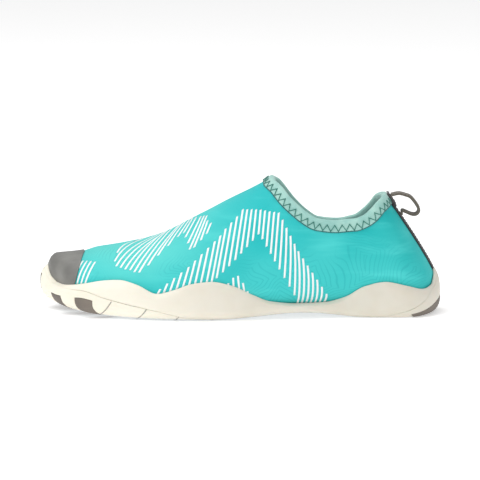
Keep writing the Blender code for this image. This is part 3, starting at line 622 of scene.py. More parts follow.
# White stripes printed on the fabric
# Ends of the stripes on the lateral side, in mm: along the shoe from the toe, and the height that
# shows from 9 degrees up with the wall 40 mm out. bow is how far the middle stands off the chord, and
# number says which stripe of a row an entry is: the stripes between two entries are spaced evenly.
stripes = {
    "width": 0.00130, "lift": 0.00008, "thickness": 0.00006, "tilt": 9.0, "wallOut": 0.040,
    "step": 0.0018, "fineStep": 0.0006, "meet": 1.96, "ink": (0.88, 0.91, 0.91),
    "quarter": {
        "number":   (-13, -9, -5, -4, -3, -1, 0, 4, 5, 8, 9, 12, 13, 15, 19),
        "topX": (
            79.6, 98.0, 114.8, 118.4, 121.8, 129.2, 132.9, 144.4, 147.2, 156.1, 158.6, 166.2, 168.7, 174.7,
            187.1),
        "topH":     (20.1, 34.3, 50.9, 54.6, 59.1, 67.0, 71.6, 71.3, 70.9, 69.4, 64.8, 49.3, 44.5, 35.2, 16.9),
        "bottomX": (
            77.3, 93.9, 109.0, 112.2, 115.9, 123.9, 127.9, 143.0, 145.5, 153.5, 156.5, 166.2, 168.7, 174.2,
            185.8),
        "bottomH":  (15.5, 20.2, 21.6, 22.0, 27.0, 34.8, 38.8, 55.5, 52.3, 38.0, 32.8, 16.0, 9.6, 9.0, 10.0),
        "bow":      (0, 0, 0, 0, 0, 0, 0, 0, 0, 0, 0.1, 0.6, 0.9, 1.0, 0.4),
    },
    "cluster": {
        "topX":     (123.5, 126.6, 129.7, 132.9, 135.8),
        "topH":     (23.8, 27.4, 28.6, 24.0, 18.7),
        "bottomX":  (123.2, 126.9, 130.6, 134.1, 136.4),
        "bottomH":  (20.2, 20.0, 18.0, 16.0, 15.0),
    },
    "vamp": {
        "topX":     (61.8, 64.3, 68.6, 72.3, 75.6, 79.3, 82.5, 85.6, 89.3, 91.8, 94.4, 98.1),
        "topH":     (50.9, 51.3, 51.3, 52.1, 52.7, 55.4, 57.2, 58.5, 59.7, 61.6, 62.9, 65.4),
        "bottomX":  (51.1, 49.8, 50.8, 53.6, 56.7, 59.9, 62.7, 65.8, 71.5, 77.8, 84.3, 90.6),
        "bottomH":  (43.5, 37.9, 34.7, 33.7, 32.8, 32.2, 30.9, 30.7, 35.3, 41.6, 47.9, 53.8),
        "bow":      (-1.8, -2.0, -2.0, -1.8, -1.6, -1.4, -1.2, -1.0, -0.7, -0.4, -0.2, 0),
    },
    "lobe": {
        "topX":     (100.0, 102.5, 105.6, 107.6, 109.4, 110.0, 112.2),
        "topH":     (66.0, 66.7, 67.3, 67.6, 67.6, 64.5, 62.9),
        "bottomX":  (94.4, 95.6, 97.2, 98.4, 101.3, 105.7, 109.4),
        "bottomH":  (56.3, 53.5, 49.7, 45.7, 46.9, 51.6, 55.7),
    },
    "toe": {
        "topX":     (28.9, 31.5, 34.2, 37.0),
        "topH":     (38.3, 38.2, 38.0, 37.6),
        "bottomX":  (22.8, 25.3, 27.8, 30.3),
        "bottomH":  (23.6, 23.2, 22.8, 22.4),
        "bow":      (-0.9, -0.8, -0.7, -0.6),
    },
}


def seenHeight(t, share):    # how high a spot shows; past share 1 it lies over the ridge
    tilt = math.radians(stripes["tilt"])
    p = lastPoint(t, -1 if share <= 1 else 1, archHeight(t, min(share, 2 - share)))
    return p.z * math.cos(tilt) + (p.y + stripes["wallOut"]) * math.sin(tilt)


def skylineShares():    # the arch share at which the upper's face turns away, along the shoe
    shares = [1 + 0.02 * k for k in range(25)]
    stations = [0.05 + 0.02 * k for k in range(27)]
    return stations, [max(shares, key=lambda share: seenHeight(t, share)) for t in stations]


skyline = skylineShares()


def printSpot(along, seen):    # (share of length, arch share) of a spot that shows from the lateral side
    t = (along - shoe["toeRim"]) / upperSpan
    low, high = -0.9, float(np.interp(t, *skyline)) if t < 0.55 else 1.0
    for _ in range(16):
        share = (low + high) / 2
        for _ in range(3):
            lean = leanAt(t, archHeight(t, min(share, 2 - share)))
            t = min(max((along - shoe["toeRim"] + lean) / upperSpan, 0.001), 0.999)
        if seenHeight(t, share) < seen:
            low = share
        else:
            high = share
    return t, share


def stripePath(top, bottom, bow, overRidge):
    a, b = Vector(bottom) * 0.001, Vector(top) * 0.001
    side = Vector((b.y - a.y, a.x - b.x)).normalized() * bow * 0.001
    count = max(4, int((b - a).length / (stripes["fineStep"] if overRidge else stripes["step"])))
    path = []
    for k in range(count + 1):
        u = k / count
        p = a.lerp(b, u) + side * 4 * u * (1 - u)
        path.append(printSpot(p.x, p.y))
    if overRidge:    # goes on to where the face turns away
        end = float(np.interp(path[-1][0], *skyline))
        while path[-1][1] > end - 0.10:
            path.pop()
        t, share = path[-1]
        slope = (t - path[-4][0]) / max(0.02, share - path[-4][1])
        path += [
            (t + slope * (end - share) * u * (1 - u * 0.3), share + (end - share) * u)
            for u in (0.25, 0.5, 0.75, 1.0)]
    return path


def twinPath(path):    # the same stripe on the medial side, which stops where the lateral ones end
    return [(t, share) for t, share in path if share < stripes["meet"] - float(np.interp(t, *skyline))]


def addStripe(path, side, points, faces):
    start = len(points)
    centre = [facePoint(t, side, share) for t, share in path]
    for k, (t, share) in enumerate(path):
        before, after = centre[max(0, k - 1)], centre[min(len(path) - 1, k + 1)]
        step = facePoint(min(1.0, t + 0.002), side, share) - centre[k]
        slant = max(0.35, (after - before).normalized().cross(step.normalized()).length)
        half = stripes["width"] / 2 / slant / step.length * 0.002
        for u, lift in ((-1, 0.8), (0, 1.0), (1, 0.8)):
            points.append(facePoint(t + u * half, side, share, stripes["lift"] * lift))
    faces += gridFaces(len(path), 3, start)


def makeStripes():
    points, faces = [], []
    for name in ("quarter", "cluster", "vamp", "lobe", "toe"):
        table = stripes[name]
        numbers = table.get("number", range(len(table["topX"])))
        columns = [
            np.interp(range(numbers[0], numbers[-1] + 1), numbers, table.get(column, [0] * len(numbers)))
            for column in ("topX", "topH", "bottomX", "bottomH", "bow")]
        for topX, topH, bottomX, bottomH, bow in zip(*columns):
            path = stripePath((topX, topH), (bottomX, bottomH), bow, name == "vamp")
            addStripe(path, -1, points, faces)
            addStripe(twinPath(path) if name == "vamp" else path, 1, points, faces)
    piece = newPiece("printedStripes", points, faces)
    addModifier(piece, "SOLIDIFY", thickness=stripes["thickness"], offset=-1)
    return bake(piece)


def inkMaterial():
    material, tree, spot = newMaterial("whiteFlexPrint", {"Roughness": 0.5, "Specular IOR Level": 0.4})
    grain = noiseOn(tree, spot["Object"], 700.0, 3.0)
    worn = between(tree, noiseOn(tree, spot["Object"], 260.0, 4.0), 0.62, 0.75, 0.0, 0.12)
    return dress(material, mixColour(tree, worn, stripes["ink"], upper["light"]), [(grain, 0.0001, 0.3)])


finishPiece(makeStripes(), None, "stretch_fabric", inkMaterial())
print("stripes printed")

# Toe cap
toeCap = {
    "side": 0.069, "ridge": 0.093, "curve": 0.7, "thickness": 0.00075, "lift": 0.00006,
    "columns": 34, "rows": 30, "edge": 0.00022,
    "grey": (0.205, 0.203, 0.188), "dark": (0.150, 0.148, 0.138),
}


def makeToeCap():
    def grid(lift):
        columns = []
        for c in range(toeCap["columns"] + 1):
            u = (c / toeCap["columns"]) ** 1.6
            column = []
            for r in range(2 * toeCap["rows"] + 1):
                side = -1 if r <= toeCap["rows"] else 1
                share = 1 - abs(r / toeCap["rows"] - 1)
                end = toeCap["side"] + (toeCap["ridge"] - toeCap["side"]) * share ** toeCap["curve"]
                t = end * u
                low = archShare(t, waveHeight(t, side) - 0.0008)
                column.append(facePoint(t, side, low + (1 - low) * share, lift))
            columns.append(column)
        return columns

    piece = sheetSolid("toeCapFilm", grid(toeCap["lift"]), grid(toeCap["lift"] + toeCap["thickness"]))
    return bevel(piece, toeCap["edge"])


def capMaterial():
    material, tree, spot = newMaterial("greyCapFilm", {
        "Roughness": 0.42, "Coat Weight": 0.12, "Coat Roughness": 0.3, "Specular IOR Level": 0.45})
    where = spot["Object"]
    cloud = between(tree, noiseOn(tree, where, 70.0, 3.0), 0.3, 0.7)
    scuff = noiseOn(tree, scaled(tree, where, (1.0, 6.0, 1.0)), 240.0, 4.0)
    return dress(
        material, mixColour(tree, cloud, toeCap["grey"], toeCap["dark"]),
        [(cellsOn(tree, where, 1100.0), 0.00012, 0.35)], between(tree, scuff, 0.3, 0.8, 0.36, 0.52))


finishPiece(makeToeCap(), "toe_cap", "cap_film", capMaterial())
print("toe cap made")

# Collar binding
binding = {
    "width": 0.0062, "innerWidth": 0.0050, "steps": 230, "ribPitch": 0.0011, "uvRow": 0.0013,
    "aqua": (0.395, 0.655, 0.585), "shade": (0.300, 0.560, 0.510),
    # its outside from the lower edge up: (share of the width, lift), then over the top and down inside
    "outside": (
        (1.00, 0.00005), (1.00, 0.00060), (0.95, 0.00090), (0.84, 0.00115), (0.64, 0.00138), (0.45, 0.00150),
        (0.22, 0.00158)),
    "inside": ((0.30, -0.0032), (0.70, -0.0030), (0.96, -0.0027), (1.00, -0.0022), (0.97, -0.0018)),
    "roll": (-0.00085, 0.0023, 0.0016),    # middle, half thickness and height of the fold over the edge
    "rollAngles": (25, 57, 90, 123, 155),
    # threads on its outside: (share of the width, lift)
    "zigzagFoot": (0.97, 0.00105), "zigzagTop": (0.32, 0.00180), "hem": (1.03, 0.00022),
}


def stationAt(along, z):
    return halved(0.0, 1.0, 36, lambda t: shoe["toeRim"] + t * upperSpan - leanAt(t, z) < along)


def heelStation(y, side, z):
    return halved(0.8, 1.0, 30, lambda t: abs(lastPoint(t, side, z).y - centreLine(t)) > y)


def onFace(point, side):
    t = stationAt(point.x + shoe["length"] / 2, point.z)
    behind = min(1.0, max(0.0, (t - 0.915) / 0.04))    # round the heel the width finds the station better
    if behind == 1:
        t = heelStation(abs(point.y), side, point.z)
        return t, side, archShare(t, point.z)
    zWidest = featherHeight(t) + shoe["shoulder"]
    rise = max(0.0, (point.z - zWidest) / (ridgeHeight(t) - zWidest))
    y = abs(point.y - centreLine(t) - curves["section", "shift"](t) * shoe["ballWidth"] * rise ** 2)
    power = curves["section", "fullness"](t) / 2
    slope = math.atan2(rise ** power, (y / halfWidth(t, side, -shoe["bulge"])) ** power)
    share = slope * 2 / math.pi
    if behind:
        tBack = heelStation(abs(point.y), side, point.z)
        share += (archShare(tBack, point.z) - share) * behind
        t += (tBack - t) * behind
    return t, side, share


def collarPath(steps):    # (share of length, side, height) round the collar's edge, evenly spaced
    front = shoe["collarFront"]
    fine = [front + (1 - front) * (k / 900) ** 1.7 for k in range(901)]

    def half(side):
        stations = evenly(fine, lambda t: faceAt(t, side, collarHeight(t, side)), steps // 2)
        return [(t, side, collarHeight(t, side)) for t in stations]

    return half(-1) + half(1)[1:-1][::-1]


def bandFrame(edge, k):    # the edge's own spot, and the way down the face across the edge
    t, side, z = edge[k]
    here, before, after = (faceAt(*spot) for spot in (edge[k], edge[k - 1], edge[(k + 1) % len(edge)]))
    normal = (faceAt(t, side, z, 1.0) - here).normalized()
    down = (after - before).normalized().cross(normal).normalized()
    if down.z > 0:
        down = -down
    if k == 0:
        down.y = 0
    return here, down


def bandSpot(edge, k, drop, held):
    t, side, z = edge[k]
    here, down = held
    if t > 0.999999:
        return 1.0, side, archShare(1.0, z - drop * 0.86)
    t, side, share = onFace(here + down * drop, side)
    return t, side, (1.0 if k == 0 else share)


def makeBinding():
    edge = collarPath(binding["steps"])
    sections, uvs, zigzag, hem = [], [], [], []
    run = 0.0
    middle, half, rise = binding["roll"]
    for k in range(len(edge)):
        held = bandFrame(edge, k)

        def spot(share, lift, width=binding["width"]):
            return facePoint(*bandSpot(edge, k, share * width, held), lift)

        run += (held[0] - faceAt(*edge[k - 1])).length if k else 0.0
        section = [spot(*row) for row in binding["outside"]]
        top = bandSpot(edge, k, 0.0, held)
        up = (facePoint(*top) - facePoint(*bandSpot(edge, k, 0.002, held))).normalized()
        for angle in binding["rollAngles"]:
            a = math.radians(angle)
            section.append(facePoint(*top, middle + half * math.cos(a)) + up * (0.0001 + rise * math.sin(a)))
        section += [spot(*row, binding["innerWidth"]) for row in binding["inside"]]
        sections.append(section)
        uvs += [(run, r * binding["uvRow"]) for r in range(len(section))]
        low = spot(*binding["zigzagFoot"])
        zigzag.append((low, spot(*binding["zigzagTop"]) - low))
        hem.append((spot(*binding["hem"]), Vector()))
    rows = len(sections[0])
    faces = gridFaces(len(edge), rows, 0, loop=True)
    for k in range(len(edge)):
        after = (k + 1) % len(edge) * rows
        faces.append((k * rows + rows - 1, after + rows - 1, after, k * rows))
    piece = newPiece("foldedBinding", [p for section in sections for p in section], faces, uvs)
    return piece, zigzag, hem


def bindingMaterial():
    material, tree, spot = newMaterial("knitBinding", {
        "Roughness": 0.82, "Sheen Weight": 0.4, "Sheen Roughness": 0.4, "Specular IOR Level": 0.25})
    rib = weaveOn(tree, spot["UV"], binding["ribPitch"], binding["ribPitch"] * 1.6)
    soft = noiseOn(tree, spot["Object"], 120.0, 2.0)
    return dress(
        material, mixColour(tree, between(tree, soft, 0.3, 0.7), binding["aqua"], binding["shade"]),
        [(soft, 0.0008, 0.3), (rib, 0.00010, 0.6)])


band, zigzagPath, hemPath = makeBinding()
finishPiece(band, "collar_binding", "binding_fabric", bindingMaterial())
print("binding made")

# Stitches, by Geometry Nodes
stitch = {
    "zigzagPitch": 0.0052, "threadRadius": 0.00052, "hemPitch": 0.0012, "dashPitch": 0.0021,
    "dashLength": 0.0014, "dashRadius": 0.0002,
    "green": (0.004, 0.150, 0.115), "dark": (0.005, 0.110, 0.110), "charcoal": (0.035, 0.032, 0.034),
}


def threadMaterial(name, colour):
    material, tree, spot = newMaterial(name, {"Roughness": 0.55, "Sheen Weight": 0.2})
    twist = addNode(tree, "ShaderNodeTexWave", {
        "Vector": scaled(tree, spot["Object"], (1.0, 0.6, 1.0)), "Scale": 420.0, "Distortion": 1.0},
        bands_direction="DIAGONAL").outputs[1]
    pale = tuple(min(1.0, c * 1.7 + 0.01) for c in colour)
    return dress(material, mixColour(tree, times(tree, twist, 0.5), colour, pale), [(twist, 0.00008, 0.5)])


def stitchTree(name, dashes):    # a thread that swings across its path, or dashes that follow it
    tree = bpy.data.node_groups.new(name, "GeometryNodeTree")
    kinds = {
        "Geometry": "Geometry", "Pitch": "Float", "Radius": "Float", "Dash Length": "Float", "Swing": "Float",
        "Material": "Material"}
    for label, kind in kinds.items():
        tree.interface.new_socket(label, in_out="INPUT", socket_type="NodeSocket" + kind)
    tree.interface.new_socket("Geometry", in_out="OUTPUT", socket_type="NodeSocketGeometry")
    given = addNode(tree, "NodeGroupInput").outputs
    line = nodeOut(tree, "GeometryNodeMeshToCurve", {"Mesh": given["Geometry"]})
    even = nodeOut(tree, "GeometryNodeResampleCurve", {"Curve": line, "Length": given["Pitch"]}, mode="LENGTH")
    if dashes:
        bar = nodeOut(tree, "GeometryNodeMeshCylinder", {
            "Vertices": 6, "Radius": given["Radius"], "Depth": given["Dash Length"]})
        spots = addNode(tree, "GeometryNodeCurveToPoints", {"Curve": even}, mode="EVALUATED").outputs
        turned = nodeOut(tree, "FunctionNodeAlignRotationToVector", {"Vector": spots["Tangent"]}, axis="Z")
        made = nodeOut(tree, "GeometryNodeInstanceOnPoints", {
            "Points": spots["Points"], "Instance": bar, "Rotation": turned})
    else:
        across = nodeOut(tree, "GeometryNodeInputNamedAttribute", {"Name": "across"}, data_type="FLOAT_VECTOR")
        index = nodeOut(tree, "GeometryNodeInputIndex")
        odd = times(tree, sums(tree, "MODULO", index, 2.0), given["Swing"])
        move = nodeOut(tree, "ShaderNodeVectorMath", {0: across, "Scale": odd}, operation="SCALE")
        swung = nodeOut(tree, "GeometryNodeSetPosition", {"Geometry": even, "Offset": move})
        ring = nodeOut(tree, "GeometryNodeCurvePrimitiveCircle", {"Resolution": 6, "Radius": given["Radius"]})
        made = nodeOut(tree, "GeometryNodeCurveToMesh", {
            "Curve": swung, "Profile Curve": ring, "Fill Caps": True})
    made = nodeOut(tree, "GeometryNodeRealizeInstances", {"Geometry": made})
    made = nodeOut(tree, "GeometryNodeSetMaterial", {"Geometry": made, "Material": given["Material"]})
    made = nodeOut(tree, "GeometryNodeSetShadeSmooth", {"Geometry": made})
    addNode(tree, "NodeGroupOutput", {"Geometry": made})
    return tree


def sew(name, tree, path, closed, material, pitch, radius, dash=0.0, swing=0.0):
    mesh = bpy.data.meshes.new(name)
    count = len(path)
    edges = [(k, (k + 1) % count) for k in range(count if closed else count - 1)]
    mesh.from_pydata([tuple(p) for p, _ in path], edges, [])
    across = mesh.attributes.new("across", "FLOAT_VECTOR", "POINT")
    for k, (_, way) in enumerate(path):
        across.data[k].vector = way
    piece = addObject(name, mesh)
    modifier = piece.modifiers.new("stitches", "NODES")
    modifier.node_group = tree
    values = {"Pitch": pitch, "Radius": radius, "Dash Length": dash, "Swing": swing, "Material": material}
    for item in tree.interface.items_tree:
        if item.in_out == "INPUT" and item.name in values:
            modifier[item.identifier] = values[item.name]
    return bake(piece)


threadTree, dashTree = stitchTree("swungThread", False), stitchTree("dashRow", True)
green, darkGreen, charcoal = (
    threadMaterial(name, stitch[colour])
    for name, colour in (("greenThread", "green"), ("hemThread", "dark"), ("charcoalThread", "charcoal")))
zigzag = sew(
    "zigzagStitch", threadTree, zigzagPath, True, green, stitch["zigzagPitch"] / 2, stitch["threadRadius"],
    swing=1.0)
hem = sew(
    "hemStitch", threadTree, hemPath, True, darkGreen, stitch["hemPitch"], stitch["threadRadius"] * 0.9)
for row in (zigzag, hem):
    finishPiece(row, None, "binding_fabric")
print("collar stitched")

# Heel tape and pull loop
tape = {
    "width": 0.011, "thickness": 0.0011, "clear": 0.00015, "overBinding": 0.00150, "edge": 0.0003,
    "ribPitch": 0.0010, "edgeIn": 0.0014, "charcoal": (0.040, 0.034, 0.037), "grey": (0.075, 0.066, 0.068),
}
loop = {
    "width": 0.009, "thickness": 0.0017, "reach": 0.0190, "footDrop": 0.0120, "ribPitch": 0.0012, "edge": 0.00025,
    "brown": (0.205, 0.180, 0.140), "shade": (0.085, 0.072, 0.060), "full": 0.8, "sag": 0.75,
    "shape": (
        (0.27, 0.04), (0.50, -0.02), (0.67, -0.10), (0.85, -0.32), (0.94, -0.50), (0.87, -0.63), (0.71, -0.64),
        (0.40, -0.53)),
}


def tapeLift(z):
    step = min(1.0, max(0.0, (z - (shoe["heelHeight"] - 1.5 * binding["width"])) / (0.4 * binding["width"])))
    return tape["clear"] + tape["overBinding"] * step * step * (3 - 2 * step)


def tapePoint(y, z, lift):
    side = 1 if y > 0 else -1
    t = heelStation(abs(y), side, z) if abs(y) > 1e-5 else 1.0
    return faceAt(t, side, z, tapeLift(z) + lift)


def makeTape():
    low, top = waveHeight(1.0, 1) - 0.0006, shoe["heelHeight"] + shoe["gap"]
    heights = [low + (top - low) * k / 60 for k in range(61)]
    across = [tape["width"] * (k / 12 - 0.5) for k in range(13)]

    def grid(lift, crown):
        crowns = [(y, lift + crown * (1 - (2 * y / tape["width"]) ** 4)) for y in across]
        return [[tapePoint(y, z, up) for y, up in crowns] for z in heights]

    hem = shoe["heelHeight"] - 0.90 * binding["width"]    # below the binding it lies back on the fabric
    drops = [(z, 0.0 if z > hem + 0.0006 else tape["clear"] - tapeLift(z)) for z in heights]
    inside = [[tapePoint(y, z, drop) for y in across] for z, drop in drops]
    piece = sheetSolid("heelTape", inside, grid(tape["thickness"] * 0.72, tape["thickness"] * 0.28))
    out = tape["width"] / 2 - tape["edgeIn"]
    rows = [
        [(tapePoint(y, z, tape["thickness"] * 1.02), Vector()) for z in heights[1:-1]] for y in (-out, out)]
    return bevel(piece, tape["edge"]), rows


def loopPath(steps=10):
    def face(z):
        return faceAt(1.0, 1, z, tapeLift(z) + tape["thickness"] + shoe["gap"])

    upperEnd = face(shoe["heelHeight"] - loop["thickness"])
    lowerEnd = face(shoe["heelHeight"] - loop["thickness"] - loop["footDrop"])
    path = [upperEnd]
    path += [upperEnd + Vector((dx, 0, dz)) * loop["reach"] for dx, dz in loop["shape"]]
    path.append(lowerEnd)
    padded = [path[0] * 2 - path[1]] + path + [path[-1] * 2 - path[-2]]
    fine = []
    for k in range(1, len(padded) - 2):
        fine += bend(*padded[k - 1:k + 3], steps)
    return fine + [path[-1]]


def makeLoop():
    path = loopPath()
    half = loop["thickness"] / 2
    across = [loop["width"] * (k / 8 - 0.5) for k in range(9)]
    inner, outer = [], []
    for k, p in enumerate(path):
        run = (path[min(len(path) - 1, k + 1)] - path[max(0, k - 1)]).normalized()
        away = Vector((-run.z, 0, run.x)) * half
        sag = loop["sag"] * math.sin(math.pi * k / len(path))
        for face, full in ((inner, -loop["full"]), (outer, loop["full"])):
            face.append([
                p + away * (full + sag * (y / loop["width"] * 2) ** 2) + Vector((0, y, 0)) for y in across])
    piece = sheetSolid("pullLoopRibbon", inner, outer)
    return bevel(piece, loop["edge"])


def ribbonMaterial(name, deep, pale, pitch):
    material, tree, spot = newMaterial(name, {
        "Roughness": 0.78, "Sheen Weight": 0.25, "Specular IOR Level": 0.3})
    rib = weaveOn(tree, spot["UV"], pitch, pitch * 1.3)
    fleck = noiseOn(tree, spot["Object"], 1300.0, 2.0)
    mixed = between(tree, sums(tree, "ADD", times(tree, rib, 0.35), fleck), 0.25, 0.85)
    return dress(material, mixColour(tree, mixed, deep, pale), [(rib, 0.00018, 0.8)])


tapeSolid, tapeRows = makeTape()
webbing = ribbonMaterial("charcoalTape", tape["charcoal"], tape["grey"], tape["ribPitch"])
finishPiece(tapeSolid, "heel_tape", "webbing", webbing)
for name, path in zip(("tapeStitchLateral", "tapeStitchMedial"), tapeRows):
    row = sew(
        name, dashTree, path, False, charcoal, stitch["dashPitch"], stitch["dashRadius"], stitch["dashLength"])
    finishPiece(row, None, "webbing")
ribbon = ribbonMaterial("wovenRibbon", loop["shade"], loop["brown"], loop["ribPitch"])
finishPiece(makeLoop(), "pull_loop", "webbing", ribbon)
print("heel tape and pull loop made")

# Sole
sole = {
    "stations": 150, "cream": (0.870, 0.830, 0.715), "warm": (0.840, 0.785, 0.660),
    # painted shade on the next line: its first two colours are darker copies of the cream and warm tones, for the
    # heel end
    "heelShadedCream": (0.700, 0.660, 0.575), "heelShadedWarm": (0.660, 0.610, 0.515), "tread": (0.660, 0.700, 0.705),
    "lug": (0.205, 0.175, 0.145), "lugDark": (0.120, 0.105, 0.094), "rimRise": 0.00022,
    # painted shade on the next line: both colours darken the shader-drawn flex grooves, in the cream rubber and
    # in the lugs
    "grooveShade": (0.20, 0.19, 0.17), "lugGrooveShade": (0.012, 0.011, 0.010),
    "grain": 1500.0, "grooves": {"first": 0.0310, "pitch": 0.0237, "slant": 0.27, "lean": 0.6, "width": 0.0010},
}
lugPlans = {    # thousandths of the length and of the ball's width
    "lug_toe": (
        (-80, 420), (9, 259), (32, 193), (61, 149), (94, 97), (134, 35),
        (139, 8), (120, -9), (75, -30), (45, 0), (20, 30), (-80, 60)),
    "lug_front": (
        (-20, 440), (22, 333), (57, 251), (91, 178), (132, 106), (181, 26),
        (197, -20), (138, -56), (104, -85), (60, -115), (34, -125), (-30, -150),
        (0, -440), (40, -262), (62, -222), (107, -205), (155, -170), (215, -115), (285, -55),
        (273, -31), (228, 28), (175, 107), (129, 187), (91, 280), (56, 394), (30, 560)),
    "lug_ball": (
        (75, 620), (89, 438), (124, 318), (170, 228), (224, 140), (269, 70), (310, 5),
        (324, -45), (248, -162), (183, -232), (128, -285), (82, -335), (40, -560),
        (85, -560), (110, -430), (123, -393), (146, -358), (190, -290), (250, -215),
        (315, -130), (380, -40),
        (334, 66), (269, 172), (223, 253), (181, 343), (151, 448), (148, 620)),
    "lug_heel": (
        (1080, 130), (985, 75), (930, 55), (880, 30), (845, 0), (872, -50),
        (900, -100), (925, -190), (930, -290), (915, -460), (1080, -460)),
    "lug_heel_chevron": (
        (975, 460), (905, 300), (862, 190), (812, 80), (772, 0), (812, -90),
        (862, -188), (884, -222), (900, -180), (868, -110), (822, -5), (865, 85),
        (915, 130), (965, 170), (1050, 270)),
}


def soleRing(point, stations):
    return [point(t, -1) for t in stations] + [point(t, 1) for t in stations[1:-1]][::-1]


def ringSolid(name, rings):    # a closed solid through rings, spanned at its first and last ring
    count = len(rings[0])
    last = count // 2
    ladder = [(0, 1, count - 1), (last - 1, last, last + 1)]
    ladder[1:1] = [(k, k + 1, count - k - 1, count - k) for k in range(1, last - 1)]
    faces = list(ladder)
    for k in range(len(rings) - 1):
        a, b = k * count, (k + 1) * count
        faces += [(a + i, a + (i + 1) % count, b + (i + 1) % count, b + i) for i in range(count)]
    top = (len(rings) - 1) * count
    faces += [tuple(top + i for i in face) for face in ladder]
    return newPiece(name, [p for ring in rings for p in ring], faces)


soleSteps = evenly(roundShares, lambda t: soleForm(t, -1, 0.5), sole["stations"])


def makeMidsole():
    wall = shoe["gap"] * 1.2

    def inner(share):    # up the inside, close round the upper
        def point(t, side):
            zLow, zTop = featherHeight(t) - 0.0002, waveHeight(t, side)
            z = zLow + (zTop - zLow) * share
            below = Vector((0, 0, min(0.0, z - featherHeight(t))))
            return lastPoint(t, side, max(z, featherHeight(t)), wall) + below
        return point

    def rim(grow, rise):
        def point(t, side):
            return lastPoint(t, side, waveHeight(t, side), grow) + Vector((0, 0, rise))
        return point

    def outer(share):
        def point(t, side):
            low = wrapLevel(t, side, "outsole") + 0.012
            return soleForm(t, side, low + (0.985 - low) * share)
        return point

    def under(share):
        def point(t, side):
            return soleForm(t, side, (wrapLevel(t, side, "outsole") + 0.012) * share, shoe["outsole"], 0.0004)
        return point

    edge = shoe["gap"] + shoe["rim"]
    rings = [inner(k / 10) for k in range(10)]
    top = sole["rimRise"]
    rings += [rim(wall, -0.0003), rim(wall + 0.00018, 0.0), rim(wall + 0.0005, top), rim(edge - 0.0003, top)]
    rings += [outer(1 - k / 20) for k in range(21)]
    rings += [under(k) for k in (1.0, 0.8, 0.6, 0.4, 0.2, 0.0)]
    return ringSolid("midsoleCup", [soleRing(point, soleSteps) for point in rings])


def skin(name, outside, inside, column, extra=0.0, levels=11):
    def face(inset, share):
        def point(t, side):
            return soleForm(t, side, (wrapLevel(t, side, column) + extra) * share, *inset)
        return point

    shares = [math.sin(k / levels * math.pi / 2) ** 1.1 for k in range(levels + 1)]
    rings = [soleRing(face(outside, k), soleSteps) for k in shares]
    rings += [soleRing(face(inside, k), soleSteps) for k in shares[::-1]]
    piece = ringSolid(name, rings)
    form = bmesh.new()
    form.from_mesh(piece.data)
    bmesh.ops.triangulate(form, faces=form.faces)
    form.to_mesh(piece.data)
    form.free()
    return piece


def planBlock(name, outline, grow=0.0, steps=6):    # a tall block over a smooth plan outline
    length, width = shoe["length"], shoe["ballWidth"]
    flat = [Vector((u / 1000 * length - length / 2, v / 1000 * width)) for u, v in outline]
    count = len(flat)
    area = sum(flat[i].cross(flat[(i + 1) % count]) for i in range(count))
    smooth = []
    for i in range(count):
        smooth += bend(*(flat[(i + k) % count] for k in (-1, 0, 1, 2)), steps)
    n = len(smooth)
    grown = []
    for i, p in enumerate(smooth):
        way = (smooth[(i + 1) % n] - smooth[i - 1]).normalized()
        grown.append(p + Vector((way.y, -way.x)) * grow * math.copysign(1, area))
    points = [(*p, -0.02) for p in grown] + [(*p, 0.05) for p in grown]
    faces = [tuple(range(n)), tuple(range(n, 2 * n))]
    faces += [(i, (i + 1) % n, n + (i + 1) % n, n + i) for i in range(n)]
    return newPiece(name, points, faces)


def combine(piece, other, operation):
    addModifier(piece, "BOOLEAN", operation=operation, object=other, solver="EXACT")
    return bake(piece)


def makeOutsole():
    outsole = skin("outsoleShell", (0.0,), (shoe["outsole"],), "outsole")
    lugs = []
    for name, plan in lugPlans.items():
        lug = skin(name + "Rubber", (0.0,), (shoe["lugDepth"],), "lug")
        block = planBlock("lugBlock", plan)
        combine(lug, block, "INTERSECT")
        pocket = skin("pocket", (0.0, -0.001), (shoe["lugDepth"], 0.0001), "lug", 0.012)
        pocketBlock = planBlock("pocketBlock", plan, shoe["gap"])
        combine(pocket, pocketBlock, "INTERSECT")
        combine(outsole, pocket, "DIFFERENCE")
        for scrap in (block, pocket, pocketBlock):
            bpy.data.objects.remove(scrap)
        lugs.append((lug, name))
    for piece in [outsole] + [lug for lug, _ in lugs]:
        piece.data.shade_smooth()
        piece.data.set_sharp_from_angle(angle=math.radians(40))
    return outsole, lugs


def treadGrooves(tree, where):    # thin cross flex grooves under the forefoot; 1 in the groove
    x, y, z = axesOf(tree, where)
    cut = sole["grooves"]
    above = sums(tree, "MAXIMUM", sums(tree, "SUBTRACT", z, 0.002), 0.0)
    slanted = sums(tree, "ADD", x, times(tree, y, cut["slant"]))
    slanted = sums(tree, "SUBTRACT", slanted, times(tree, above, cut["lean"]))
    step = times(tree, sums(tree, "ADD", slanted, shoe["length"] / 2 - cut["first"] - 0.0115), 1 / cut["pitch"])
    saw = sums(tree, "FRACT", sums(tree, "ADD", step, 10.0))
    off = sums(tree, "ABSOLUTE", sums(tree, "SUBTRACT", saw, 0.5))
    line = between(tree, off, cut["width"] / 2 / cut["pitch"], cut["width"] / 5 / cut["pitch"])
    front, back = (between(tree, x, *ends) for ends in ((-0.098, -0.095), (-0.008, -0.010)))
    return times(tree, line, front, back, between(tree, z, 0.0130, 0.0112))


